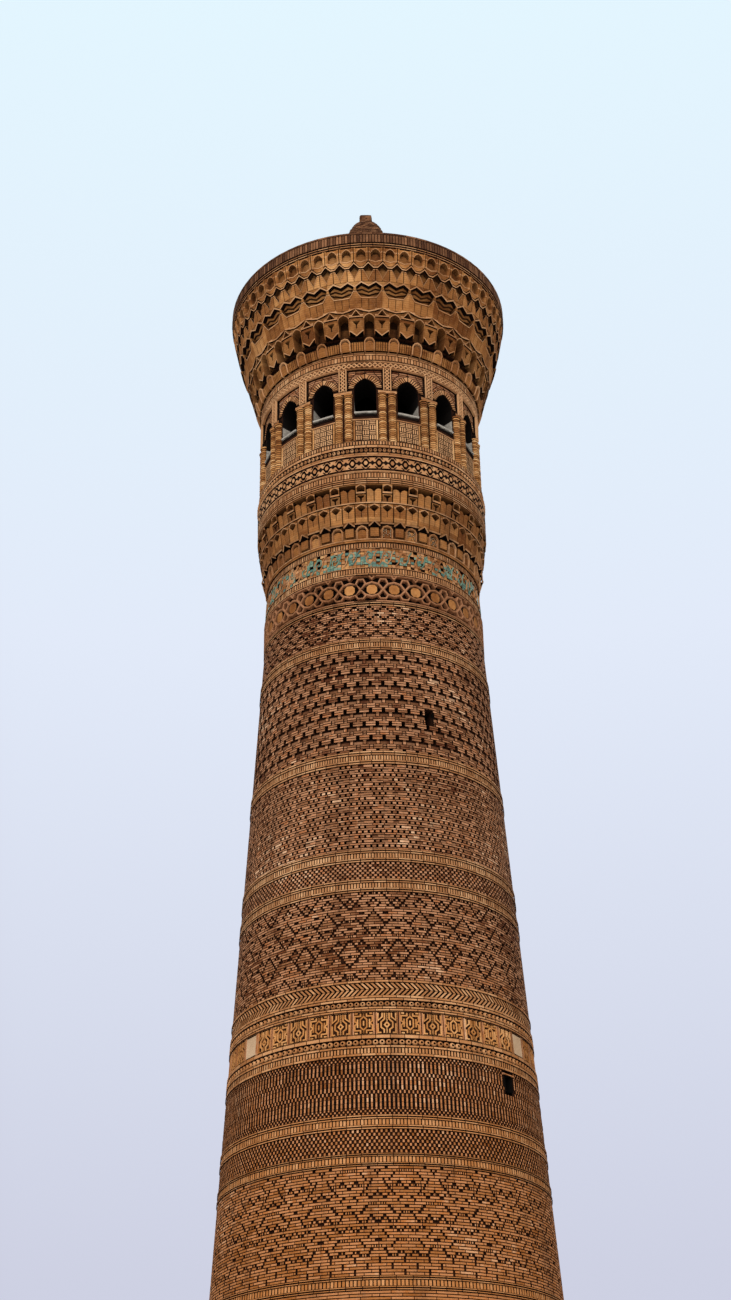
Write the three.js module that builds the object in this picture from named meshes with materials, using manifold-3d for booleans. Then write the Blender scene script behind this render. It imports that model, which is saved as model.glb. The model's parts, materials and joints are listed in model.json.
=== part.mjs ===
// Brick minaret with a tapering banded shaft, two corbelled cornices and a
// sixteen-arched lantern, modelled at half its real size.
//
// Heights and radii below are those of the real tower in metres. They are
// brought to model millimetres by one factor. Azimuth 0 is the side that
// faces -Y, and azimuths grow towards +X. +Z is up and the ground is at 0.

import * as THREE from 'three';
import { mergeVertices } from 'three/addons/utils/BufferGeometryUtils.js';
import Module from 'manifold-3d';

const wasm = await Module();
wasm.setup();

// Scale

const modelScale = 0.5;
const metre = 1000 * modelScale;
const jointGap = 0.3;
const degree = Math.PI / 180;

// Shaft

const footRadius = 4.951;
const taper = 0.0622;
const ringProjection = 0.025;
const plinthProjection = 0.1;
const wellRadius = 1.6;
const shaftSides = 48;
const wellSides = 24;

// Levels of the courses, from the ground up

const plinthTop = 0.9;
const lanternFoot = 33.89;
const lanternFloorTop = 34.1;
const sillLevel = 34.85;
const springLevel = 35.8;
const archApex = 36.22;
const arcadeTop = 36.54;
const roofLevel = 40.95;
const moundTop = 45.14;
const stubTop = 45.48;

// Lantern

const windowCount = 16;
const segmentCount = 8;
const bay = 360 / windowCount;
const lanternRadius = 3.28;
const roomRadius = 2.4;
const vaultRadius = 2.6;
const windowWidth = 0.66;
const colonnetteRadius = 0.11;
const colonnetteSides = 8;
const colonnetteTurn = 2.5;
const colonnetteTop = 35.62;
const stripWidth = 0.235;
const stripRadius = 3.4;
const stripFoot = 35.72;
const stripTrim = 0.002;
const panelWidth = 0.6;
const panelFoot = 34;
const panelTop = 34.71;
const panelDepth = 0.08;
const overlap = 0.1;
const clearCut = 0.4;

// Hatch in the lantern floor

const hatchWidth = 0.9;
const hatchLength = 1.3;
const hatchPlace = 0.6;

// Pointed arches: how high and how far out the curve's control point lies

const haunchRise = 0.72;
const haunchReach = 0.94;

// Roof

const soffitFoot = 36.44;
const blockClearance = 0.005;
const stubWidth = 0.42;

// Slit windows of the shaft, each in a course of its own height

const highSlit = { azimuth: 27.1, width: 0.25, low: 24.75, high: 25.27 };
const lowSlit = { azimuth: 52.3, width: 0.28, low: 15.0, high: 15.4 };

// Materials

const brick = new THREE.MeshStandardMaterial({ color: 0xb07c50, roughness: 0.9, metalness: 0 });
const paleBrick = new THREE.MeshStandardMaterial({ color: 0xc0946a, roughness: 0.88, metalness: 0 });
const terracotta = new THREE.MeshStandardMaterial({ color: 0xba8054, roughness: 0.85, metalness: 0 });
const glazed = new THREE.MeshStandardMaterial({ color: 0x4f9088, roughness: 0.35, metalness: 0 });
const plaster = new THREE.MeshStandardMaterial({ color: 0xb9b0a2, roughness: 0.92, metalness: 0 });

/** Radius of the tapering shaft at a height above the ground. */
const shaftRadius = (height) => footRadius - taper * height;

/** Closed three.js geometry as a solid for cutting and joining. */
function solidOf(geometry) {
  const bare = geometry.clone();
  bare.deleteAttribute('normal');
  bare.deleteAttribute('uv');
  const merged = mergeVertices(bare, 0.01);
  const corners = merged.index.array;
  const triangles = [];
  for (let i = 0; i < corners.length; i += 3) {
    const [a, b, c] = [corners[i], corners[i + 1], corners[i + 2]];
    if (a !== b && b !== c && c !== a) triangles.push(a, b, c);
  }
  const mesh = new wasm.Mesh({
    numProp: 3,
    vertProperties: new Float32Array(merged.getAttribute('position').array),
    triVerts: new Uint32Array(triangles),
  });
  return new wasm.Manifold(mesh);
}

/** Solid as a flat-shaded three.js geometry. */
function geometryOf(solid) {
  const { vertProperties, triVerts } = solid.getMesh();
  const geometry = new THREE.BufferGeometry();
  geometry.setAttribute('position', new THREE.BufferAttribute(new Float32Array(vertProperties), 3));
  geometry.setIndex(new THREE.BufferAttribute(new Uint32Array(triVerts), 1));
  const flat = geometry.toNonIndexed();
  flat.computeVertexNormals();
  return flat;
}

/**
 * Turned solid about Z. The profile is a list of [radius, height] in real
 * metres from the bottom up, with heights measured from its lowest point.
 * The sides' facets are centred on azimuth 0.
 */
function turned(profile, sides, ripple) {
  const foot = profile[0][1];
  const outline = [[0, foot], ...profile, [0, profile.at(-1)[1]]];
  const points = outline.map(([radius, height]) => new THREE.Vector2(radius * metre, (height - foot) * metre));
  const geometry = new THREE.LatheGeometry(points, sides, Math.PI / sides);
  geometry.rotateX(Math.PI / 2);
  if (ripple) rippled(geometry, ripple);
  return solidOf(geometry);
}

/**
 * Draws the foot of a turned geometry in at every other corner, which makes a
 * row of corbelled cells that die out towards the top.
 */
function rippled(geometry, { count, depth, phase }) {
  const position = geometry.getAttribute('position');
  const quarterCell = Math.PI / (2 * count);
  for (let i = 0; i < position.count; i += 1) {
    const radius = Math.hypot(position.getX(i), position.getY(i));
    const azimuth = Math.atan2(position.getX(i), -position.getY(i));
    const corner = Math.round((azimuth - quarterCell) / (Math.PI / count));
    const recessed = Math.abs(corner % 2) === 1 && position.getZ(i) < 1;
    const drawn = recessed && radius > 1 ? radius - depth * metre : radius;
    const turn = azimuth - quarterCell + phase * degree;
    position.setX(i, drawn * Math.sin(turn));
    position.setY(i, -drawn * Math.cos(turn));
  }
}

/** Cylinder of the given radius that runs through a ring of the given height. */
function wellOf(radius, height) {
  const core = turned([[radius, 0], [radius, height + 2 * overlap]], wellSides);
  return core.translate([0, 0, -overlap * metre]);
}

/** Ring between a profile and a cylindrical well, less the height of its joint. */
function ringSolid(profile, { sides = shaftSides, bore = wellRadius, ripple } = {}) {
  const height = profile.at(-1)[1] - profile[0][1];
  const fitted = profile.map(([radius, level]) => [radius, level]);
  fitted[fitted.length - 1][1] -= jointGap / metre;
  return turned(fitted, sides, ripple).subtract(wellOf(bore, height));
}

/** Outline of a pointed arch about x = 0, from its foot at the given level. */
function archShape(width, foot, spring, apex) {
  const half = (width / 2) * metre;
  const haunch = (spring + haunchRise * (apex - spring)) * metre;
  const shape = new THREE.Shape();
  shape.moveTo(-half, foot * metre);
  shape.lineTo(half, foot * metre);
  shape.lineTo(half, spring * metre);
  shape.quadraticCurveTo(half * haunchReach, haunch, 0, apex * metre);
  shape.quadraticCurveTo(-half * haunchReach, haunch, -half, spring * metre);
  shape.closePath();
  return shape;
}

/** Outline of an upright rectangle about x = 0. */
function oblongShape(width, low, high) {
  const half = (width / 2) * metre;
  const shape = new THREE.Shape();
  shape.moveTo(-half, low * metre);
  shape.lineTo(half, low * metre);
  shape.lineTo(half, high * metre);
  shape.lineTo(-half, high * metre);
  shape.closePath();
  return shape;
}

/** Prism of an upright shape that runs outward from one radius to another. */
function radialPrism(shape, innerRadius, outerRadius, azimuth, curveSegments = 3) {
  const geometry = new THREE.ExtrudeGeometry(shape, {
    depth: (outerRadius - innerRadius) * metre,
    bevelEnabled: false,
    curveSegments,
  });
  geometry.rotateX(Math.PI / 2);
  geometry.translate(0, -innerRadius * metre, 0);
  geometry.rotateZ(azimuth * degree);
  return solidOf(geometry);
}

/** Cuts a row of like niches, each an upright shape, into a ring's face. */
function withNiches(ring, { shape, count, phase, floorRadius, outerRadius, curveSegments = 1 }) {
  let cut = ring;
  for (let k = 0; k < count; k += 1) {
    const azimuth = phase + (k * 360) / count;
    cut = cut.subtract(radialPrism(shape, floorRadius, outerRadius, azimuth, curveSegments));
  }
  return cut;
}

/** Named mesh, placed with its foot at a real height. */
function placed(name, solid, material, level) {
  const mesh = new THREE.Mesh(geometryOf(solid), material);
  mesh.name = name;
  mesh.position.z = level * metre;
  return mesh;
}

/** Plain stretch of the shaft between two levels. */
function shaftCourse(name, low, high, projection, material) {
  const profile = [low, high].map((level) => [shaftRadius(level) + projection, level]);
  return placed(name, ringSolid(profile), material, low);
}

/** Course that a slit window cuts from its foot to its top and through to the well. */
function slitCourse(name, slit) {
  const profile = [slit.low, slit.high].map((level) => [shaftRadius(level), level]);
  const shape = oblongShape(slit.width, -overlap, slit.high - slit.low + overlap);
  const opening = radialPrism(shape, wellRadius / 2, footRadius, slit.azimuth);
  return placed(name, ringSolid(profile).subtract(opening), brick, slit.low);
}

/** Shaft from the ground to the neck. */
function makeShaft() {
  const shaft = new THREE.Group();
  const courses = [
    ['plinth', 0, plinthTop, plinthProjection, paleBrick],
    ['shaft_band_11', plinthTop, 4.2, 0, brick],
    ['shaft_ring_09', 4.2, 4.6, ringProjection, paleBrick],
    ['shaft_band_10', 4.6, 7.2, 0, brick],
    ['shaft_ring_08', 7.2, 7.6, ringProjection, paleBrick],
    ['shaft_band_09', 7.6, 10.07, 0, brick],
    ['shaft_ring_07', 10.07, 10.39, ringProjection, paleBrick],
    ['shaft_band_08', 10.39, 12.86, 0, brick],
    ['header_band', 12.86, 14.07, ringProjection, paleBrick],
    ['shaft_band_06_lower', 14.07, lowSlit.low, 0, brick],
    ['shaft_band_06_upper', lowSlit.high, 15.5, 0, brick],
    ['bead_ring', 15.5, 16.03, ringProjection, paleBrick],
    ['panel_band', 16.03, 16.62, 0, terracotta],
    ['chevron_ring', 16.62, 17.43, ringProjection, paleBrick],
    ['shaft_band_05', 17.43, 19.79, 0, brick],
    ['chequer_band', 19.79, 20.98, ringProjection, paleBrick],
    ['shaft_band_03', 20.98, 23.45, 0, brick],
    ['shaft_ring_02', 23.45, 23.85, ringProjection, paleBrick],
    ['shaft_band_02_lower', 23.85, highSlit.low, 0, brick],
    ['shaft_band_02_upper', highSlit.high, 27, 0, brick],
    ['shaft_ring_01', 27, 27.37, ringProjection, paleBrick],
    ['shaft_band_01', 27.37, 28.45, 0, brick],
  ];
  for (const course of courses) shaft.add(shaftCourse(...course));
  shaft.add(slitCourse('shaft_band_06_slit_course', lowSlit));
  shaft.add(slitCourse('shaft_band_02_slit_course', highSlit));
  return shaft;
}

/** Neck of the tower: strapwork, glazed frieze and the lower cornice. */
function makeNeck() {
  const neck = new THREE.Group();

  const strapwork = [[3.2, 28.45], [3.2, 29.51]];
  neck.add(placed('strapwork_band', ringSolid(strapwork), terracotta, 28.45));

  const frieze = [[3.17, 29.51], [3.12, 30.59]];
  neck.add(placed('glazed_frieze', ringSolid(frieze), glazed, 29.51));

  const arches = ringSolid([[3.13, 30.59], [3.17, 31.07], [3.26, 31.17]], { sides: 56 });
  const archedCell = archShape(0.42, 0.06, 0.26, 0.42);
  const cutArches = withNiches(arches, {
    shape: archedCell, count: 28, phase: -2.9, floorRadius: 3.05, outerRadius: 3.4,
  });
  neck.add(placed('lower_cornice_arched_tier', cutArches, terracotta, 30.59));

  const pointed = ringSolid([[3.26, 31.17], [3.31, 31.76]], {
    sides: 112, ripple: { count: 56, depth: 0.1, phase: -2.9 },
  });
  neck.add(placed('lower_cornice_pointed_tier', pointed, brick, 31.17));

  const keyed = ringSolid([[3.31, 31.76], [3.41, 32.37]], {
    sides: 56, ripple: { count: 28, depth: 0.12, phase: -2.9 },
  });
  neck.add(placed('lower_cornice_keyed_tier', keyed, brick, 31.76));

  const rosettes = [[3.427, 32.37], [3.427, 33.62], [3.45, 33.68], [3.42, lanternFoot]];
  neck.add(placed('rosette_frieze', ringSolid(rosettes), terracotta, 32.37));
  return neck;
}

/** Plan of one lantern segment: two window bays between pier centres. */
function segmentPlan() {
  const span = 360 / segmentCount;
  const half = span / 2;
  const facets = shaftSides / segmentCount;
  const trim = (jointGap / 2 / (roomRadius * metre)) / degree;
  const corner = (radius, step) => {
    const azimuth = Math.min(half - trim, Math.max(trim - half, -half + (step * span) / facets));
    return [radius * metre * Math.sin(azimuth * degree), -radius * metre * Math.cos(azimuth * degree)];
  };
  const shape = new THREE.Shape();
  shape.moveTo(...corner(lanternRadius, 0));
  for (let step = 1; step <= facets; step += 1) shape.lineTo(...corner(lanternRadius, step));
  for (let step = facets; step >= 0; step -= 1) shape.lineTo(...corner(roomRadius, step));
  shape.closePath();
  return shape;
}

/** One lantern segment about azimuth 0, with its two arches and colonnettes. */
function lanternSegment() {
  const wall = new THREE.ExtrudeGeometry(segmentPlan(), {
    depth: (arcadeTop - lanternFoot) * metre - jointGap,
    bevelEnabled: false,
  });
  let solid = solidOf(wall);
  const rise = (level) => level - lanternFoot;
  const arch = archShape(windowWidth, rise(sillLevel), rise(springLevel), rise(archApex));
  const panel = oblongShape(panelWidth, rise(panelFoot), rise(panelTop));
  const halfStrip = oblongShape(stripWidth / 2 - stripTrim, rise(stripFoot), rise(arcadeTop));
  const halfStripTurn = ((stripWidth / 2 + stripTrim) / 2 / lanternRadius) / degree;
  const beyond = lanternRadius + clearCut;

  for (const side of [-1, 1]) {
    const azimuth = (side * bay) / 2;
    solid = solid.subtract(radialPrism(arch, roomRadius - clearCut, beyond, azimuth, 2));
    solid = solid.subtract(radialPrism(panel, lanternRadius - panelDepth, beyond, azimuth));
    const inset = side * (bay - halfStripTurn);
    const strip = radialPrism(halfStrip, lanternRadius - overlap, stripRadius, inset);
    solid = solid.add(strip.translate([0, 0, -jointGap]));
  }
  const fullStrip = oblongShape(stripWidth, rise(stripFoot), rise(arcadeTop));
  solid = solid.add(radialPrism(fullStrip, lanternRadius - overlap, stripRadius, 0).translate([0, 0, -jointGap]));

  for (const turn of [-bay + colonnetteTurn, -colonnetteTurn, colonnetteTurn, bay - colonnetteTurn]) {
    const post = turned(
      [[colonnetteRadius, lanternFoot], [colonnetteRadius, colonnetteTop]],
      colonnetteSides,
    );
    const azimuth = turn * degree;
    const centre = lanternRadius * metre;
    solid = solid.add(post.translate([centre * Math.sin(azimuth), -centre * Math.cos(azimuth), 0]));
  }
  return solid;
}

/** Open lantern: floor slab and the ring of arcade segments. */
function makeLantern() {
  const lantern = new THREE.Group();
  const floorRadius = roomRadius - blockClearance;
  const floorSolid = turned([[floorRadius, lanternFoot], [floorRadius, lanternFloorTop]], shaftSides);
  const hatchShape = new THREE.BoxGeometry(hatchWidth * metre, hatchLength * metre, metre);
  const hatch = solidOf(hatchShape).translate([0, hatchPlace * metre, 0]);
  lantern.add(placed('lantern_floor', floorSolid.subtract(hatch), plaster, lanternFoot));

  const segment = geometryOf(lanternSegment());
  for (let k = 0; k < segmentCount; k += 1) {
    const mesh = new THREE.Mesh(segment, brick);
    mesh.name = `lantern_arcade_${k + 1}`;
    mesh.position.z = lanternFoot * metre;
    mesh.rotation.z = (bay / 2 + (k * 360) / segmentCount) * degree;
    lantern.add(mesh);
  }
  return lantern;
}

/** Upper cornice: corbelled tiers round the vault, closed by the rim. */
function makeCornice() {
  const cornice = new THREE.Group();
  const bore = vaultRadius;

  const braided = ringSolid([[3.37, arcadeTop], [3.39, 37.15]], { bore });
  cornice.add(placed('braided_frieze', braided, terracotta, arcadeTop));

  const arched = ringSolid([[3.42, 37.15], [3.57, 37.6]], {
    sides: 60, bore, ripple: { count: 30, depth: 0.05, phase: 2.7 },
  });
  cornice.add(placed('upper_cornice_arched_tier', arched, terracotta, 37.15));

  const deep = withNiches(ringSolid([[3.57, 37.6], [3.8, 38.49]], { sides: 60, bore }), {
    shape: archShape(0.5, 0.16, 0.42, 0.68), count: 30, phase: 2.7, floorRadius: 3.42, outerRadius: 4,
  });
  cornice.add(placed('upper_cornice_deep_tier', deep, brick, 37.6));

  const winged = ringSolid([[3.8, 38.49], [3.91, 38.76], [3.97, 39.0], [4.05, 39.02], [4.05, 39.28]], {
    sides: 60, bore, ripple: { count: 30, depth: 0.14, phase: 2.7 },
  });
  cornice.add(placed('upper_cornice_winged_tier', winged, brick, 38.49));

  const lozenge = ringSolid([[4.06, 39.28], [4.17, 39.86]], {
    sides: 120, bore, ripple: { count: 60, depth: 0.12, phase: 2.7 },
  });
  cornice.add(placed('upper_cornice_lozenge_tier', lozenge, brick, 39.28));

  const small = ringSolid([[4.18, 39.86], [4.29, 40.41]], {
    sides: 120, bore, ripple: { count: 60, depth: 0.12, phase: -0.3 },
  });
  cornice.add(placed('upper_cornice_small_tier', small, terracotta, 39.86));

  const rim = ringSolid([[4.33, 40.41], [4.33, 40.54], [4.355, 40.56], [4.355, roofLevel]], { bore });
  cornice.add(placed('cornice_rim', rim, paleBrick, 40.41));
  return cornice;
}

/** Vault over the lantern room, with the tapering core that crowns the roof. */
function makeRoof() {
  const roof = new THREE.Group();
  const blockRadius = vaultRadius - blockClearance;
  const block = turned([[blockRadius, arcadeTop], [blockRadius, roofLevel - jointGap / metre]], wellSides);
  const soffit = [[roomRadius, soffitFoot], [roomRadius, 36.9], [2.28, 37.5], [2.02, 38.1], [1.55, 38.75], [0.85, 39.3], [0.001, 39.6]];
  const hollow = turned(soffit, wellSides).translate([0, 0, (soffit[0][1] - arcadeTop) * metre]);
  roof.add(placed('lantern_vault', block.subtract(hollow), plaster, arcadeTop));

  const mound = [
    [1.7, roofLevel], [1.45, 42], [1.15, 43], [0.82, 44], [0.62, 44.6],
    [0.56, 44.82], [0.45, 45], [0.35, 45.09], [0.26, moundTop - jointGap / metre],
  ];
  roof.add(placed('roof_core', turned(mound, wellSides), brick, roofLevel));

  const stubHeight = stubTop - moundTop;
  const stub = new THREE.BoxGeometry(stubWidth * metre, stubWidth * metre, stubHeight * metre);
  stub.translate(0, 0, (stubHeight / 2) * metre);
  const knob = new THREE.BoxGeometry(0.16 * metre, 0.2 * metre, 0.1 * metre);
  knob.translate(-0.1 * metre, -0.05 * metre, stubHeight * metre);
  roof.add(placed('roof_stub', solidOf(stub).add(solidOf(knob)), paleBrick, moundTop));
  return roof;
}

const group = new THREE.Group();
group.add(makeShaft(), makeNeck(), makeLantern(), makeCornice(), makeRoof());

export default group;
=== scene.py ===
"""Half-size brick minaret: the brickwork, carving and finishes of every piece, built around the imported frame.

Heights, radii and depths are real metres of the full-size tower and one factor brings them to the model.
Azimuth 0 is the side that faces -Y and azimuths grow towards +X.
"""

import json
import math
from functools import partial

import bpy
import numpy as np
from mathutils import Matrix, Vector

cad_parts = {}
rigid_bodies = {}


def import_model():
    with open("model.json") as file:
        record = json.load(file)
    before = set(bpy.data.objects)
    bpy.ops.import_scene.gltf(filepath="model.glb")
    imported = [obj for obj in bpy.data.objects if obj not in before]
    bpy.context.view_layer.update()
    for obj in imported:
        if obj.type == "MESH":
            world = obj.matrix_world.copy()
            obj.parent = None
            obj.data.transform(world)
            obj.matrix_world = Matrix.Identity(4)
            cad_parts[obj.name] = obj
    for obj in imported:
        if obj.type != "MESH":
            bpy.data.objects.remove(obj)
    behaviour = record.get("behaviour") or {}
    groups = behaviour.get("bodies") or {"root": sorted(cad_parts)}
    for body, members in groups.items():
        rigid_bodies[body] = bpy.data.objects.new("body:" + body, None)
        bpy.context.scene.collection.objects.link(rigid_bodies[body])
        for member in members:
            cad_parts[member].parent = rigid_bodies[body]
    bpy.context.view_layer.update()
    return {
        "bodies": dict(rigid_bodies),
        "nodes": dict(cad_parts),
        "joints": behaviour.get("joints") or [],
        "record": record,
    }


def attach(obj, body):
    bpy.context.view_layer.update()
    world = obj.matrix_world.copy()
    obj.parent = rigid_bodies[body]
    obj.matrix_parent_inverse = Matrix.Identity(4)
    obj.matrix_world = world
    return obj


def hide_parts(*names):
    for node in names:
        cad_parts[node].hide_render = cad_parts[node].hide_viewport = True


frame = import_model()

# Scale and main measures

SCALE = 0.5
TAU = 2 * math.pi
DEGREE = math.pi / 180
COURSE = 0.068
FOOT_RADIUS = 4.951
TAPER = 0.0622
PLINTH_PROUD = 0.1
WELL_RADIUS = 1.6
SEAT = 0.001

# Foot of each ring of the tower, from the ground up

RINGS = (
    ("plinth", 0.0), ("shaft_band_11", 0.9), ("shaft_ring_09", 4.2), ("shaft_band_10", 4.6),
    ("shaft_ring_08", 7.2), ("shaft_band_09", 7.6), ("shaft_ring_07", 10.07), ("shaft_band_08", 10.39),
    ("header_band", 12.86), ("shaft_band_06", 14.07), ("bead_ring", 15.5), ("panel_band", 16.03),
    ("chevron_ring", 16.62), ("shaft_band_05", 17.43), ("chequer_band", 19.79), ("shaft_band_03", 20.98),
    ("shaft_ring_02", 23.45), ("shaft_band_02", 23.85), ("shaft_ring_01", 27.0), ("shaft_band_01", 27.37),
    ("strapwork_band", 28.45), ("glazed_frieze", 29.51), ("lower_cornice_arched_tier", 30.59),
    ("lower_cornice_pointed_tier", 31.17), ("lower_cornice_keyed_tier", 31.76), ("rosette_frieze", 32.37),
    ("lantern", 33.89), ("braided_frieze", 36.54), ("upper_cornice_arched_tier", 37.15),
    ("upper_cornice_deep_tier", 37.6), ("upper_cornice_winged_tier", 38.49),
    ("upper_cornice_lozenge_tier", 39.28), ("upper_cornice_small_tier", 39.86), ("cornice_rim", 40.41),
    ("roof_core", 40.95), ("roof_stub", 45.14), ("stub_top", 45.48),
)
LEVELS = {node: (low, high) for (node, low), (_, high) in zip(RINGS, RINGS[1:])}

# Brickwork: joints, grooves, soldiers, ledges and the body behind the relief

JOINT = 0.0118
HEAD_JOINT = 1.6 * JOINT
GROOVE = 0.012
SOLDIER_GROOVE = 0.04
BED = 0.018
BODY_DEPTH = 0.06
SOLDIER = 0.135
SOLDIER_BACK = 0.035
SOLDIER_WEAR = 0.003
RING_SOLDIERS = 305
LEDGE_PROUD = 0.025
LEDGE_JOINT = 0.012
BODY_SIDES = 96

# Depths of sunk marks, black holes and open cells, and how painted shade grows with depth

MARK_DEPTH = 0.04
HOLE_DEPTH = 0.1
OPEN_DEPTH = 0.5
FULL_SHADE_DEPTH = 0.22
WALL_SHADE_LIMIT = 0.8
SHADOW_RATE = 14

# Mesh making: smallest quad, welding grid, longest joint wall in cells, sharpest mitres

LEAST_AREA = 1e-9
WELD_STEPS = 2e4
KEY_BITS = 21
LONGEST_WALL = 12
TILE_MITRE = 0.5
STRAP_MITRE = 1.2

# Slit windows of the shaft: azimuth in degrees, width, lowest and highest level

SLIT_HIGH = (27.1, 0.25, 24.75, 25.27)
SLIT_LOW = (52.3, 0.28, 15.0, 15.4)

random = np.random.default_rng(1127)


# Camera at the photograph's viewing angle

CAMERA_AZIMUTH = 2.0 * DEGREE
CAMERA_DISTANCE = 47.67
EYE_LEVEL = 1.6
PITCH = 0.5197
YAW = 0.0051
ROLL = -0.0164
LENS = 52.32


def make_camera():
    """Camera on the -Y side at eye level, tilted up, with its small yaw and roll."""
    data = bpy.data.cameras.new("camera")
    data.lens = LENS
    data.sensor_width = 36
    data.clip_end = 500
    camera = bpy.data.objects.new("camera", data)
    ahead = Vector((-math.sin(CAMERA_AZIMUTH), math.cos(CAMERA_AZIMUTH), 0))
    left = Vector((0, 0, 1)).cross(ahead)
    level = math.cos(YAW) * ahead + math.sin(YAW) * left
    forward = math.cos(PITCH) * level + Vector((0, 0, math.sin(PITCH)))
    flat_right = forward.cross(Vector((0, 0, 1))).normalized()
    flat_up = flat_right.cross(forward)
    right = math.cos(ROLL) * flat_right + math.sin(ROLL) * flat_up
    up = math.cos(ROLL) * flat_up - math.sin(ROLL) * flat_right
    turn = Matrix((right, up, -forward)).transposed().to_4x4()
    place = -CAMERA_DISTANCE * ahead + Vector((0, 0, EYE_LEVEL))
    camera.matrix_world = Matrix.Translation(SCALE * place) @ turn
    bpy.context.scene.collection.objects.link(camera)
    bpy.context.scene.camera = camera


make_camera()


# Shader arithmetic


class Socket:
    """A node socket that takes part in plain arithmetic; each operator adds one Math node."""

    def __init__(self, tree, socket):
        self.tree = tree
        self.socket = socket

    def node(self, kind, settings=None, outlet=0, **inputs):
        """Adds any node: its type, its settings, then the values or links of its sockets."""
        made = self.tree.nodes.new(kind)
        for name, value in (settings or {}).items():
            if name == "stops":
                fill_ramp(made.color_ramp, value)
            else:
                setattr(made, name, value)
        for name, value in inputs.items():
            inlet = made.inputs[int(name[1:])] if name[0] == "_" else made.inputs[name.replace("_", " ")]
            if isinstance(value, Socket):
                self.tree.links.new(value.socket, inlet)
            else:
                inlet.default_value = value
        return Socket(self.tree, made.outputs[outlet])

    def maths(self, operation, first, second):
        return self.node("ShaderNodeMath", {"operation": operation}, _0=first, _1=second)

    def __add__(self, other):
        return self.maths("ADD", self, other)

    def __radd__(self, other):
        return self.maths("ADD", other, self)

    def __sub__(self, other):
        return self.maths("SUBTRACT", self, other)

    def __mul__(self, other):
        return self.maths("MULTIPLY", self, other)

    def __truediv__(self, other):
        return self.maths("DIVIDE", self, other)

    def clamped(self):
        """The value held between 0 and 1."""
        return self.node("ShaderNodeClamp", _0=self)

    def band(self, low, high):
        """Smooth step from 0 at low to 1 at high."""
        settings = {"interpolation_type": "SMOOTHSTEP"}
        return self.node("ShaderNodeMapRange", settings, Value=self, From_Min=low, From_Max=high)

    def mixed(self, first, second, blend="MIX"):
        """Colour between first and second by this value."""
        settings = {"data_type": "RGBA", "blend_type": blend}
        return self.node("ShaderNodeMix", settings, 2, _0=self, _6=first, _7=second)


def fill_ramp(ramp, stops):
    """Sets a colour ramp's stops from (place, red, green, blue) marks."""
    while len(ramp.elements) < len(stops):
        ramp.elements.new(0.5)
    for element, (place, *screen) in zip(ramp.elements, stops):
        element.position = place
        element.color = colour(*screen)


def colour(red, green, blue):
    """Opaque linear colour from 0 to 255 screen values."""
    linear = [((v / 255 + 0.055) / 1.055) ** 2.4 if v > 10 else v / 3295 for v in (red, green, blue)]
    return (*linear, 1)


def new_material(name):
    """Plain material, its shader and the socket of the object's own coordinates, which builds the rest."""
    material = bpy.data.materials.new(name)
    material.use_nodes = True
    tree = material.node_tree
    shader = tree.nodes["Principled BSDF"]
    shader.inputs["Specular IOR Level"].default_value = 0.1
    coordinates = tree.nodes.new("ShaderNodeTexCoord")
    return material, shader, Socket(tree, coordinates.outputs["Object"])


def noise(place, scale, detail=3.0, roughness=0.5, squash=(1, 1, 1)):
    """Cloudy value about 0.5 from the object's own coordinates."""
    stretched = place.node("ShaderNodeMapping", _0=place, Scale=squash)
    return place.node("ShaderNodeTexNoise", Vector=stretched, Scale=scale, Detail=detail, Roughness=roughness)


def finish(shader, place, base, roughness, height, strength=0.4, distance=0.004):
    """Joins colour, roughness and bump height to the shader."""
    bump = place.node("ShaderNodeBump", Strength=strength, Distance=distance, Height=height)
    links = place.tree.links
    links.new(base.socket, shader.inputs["Base Color"])
    links.new(roughness.socket, shader.inputs["Roughness"])
    links.new(bump.socket, shader.inputs["Normal"])


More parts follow.
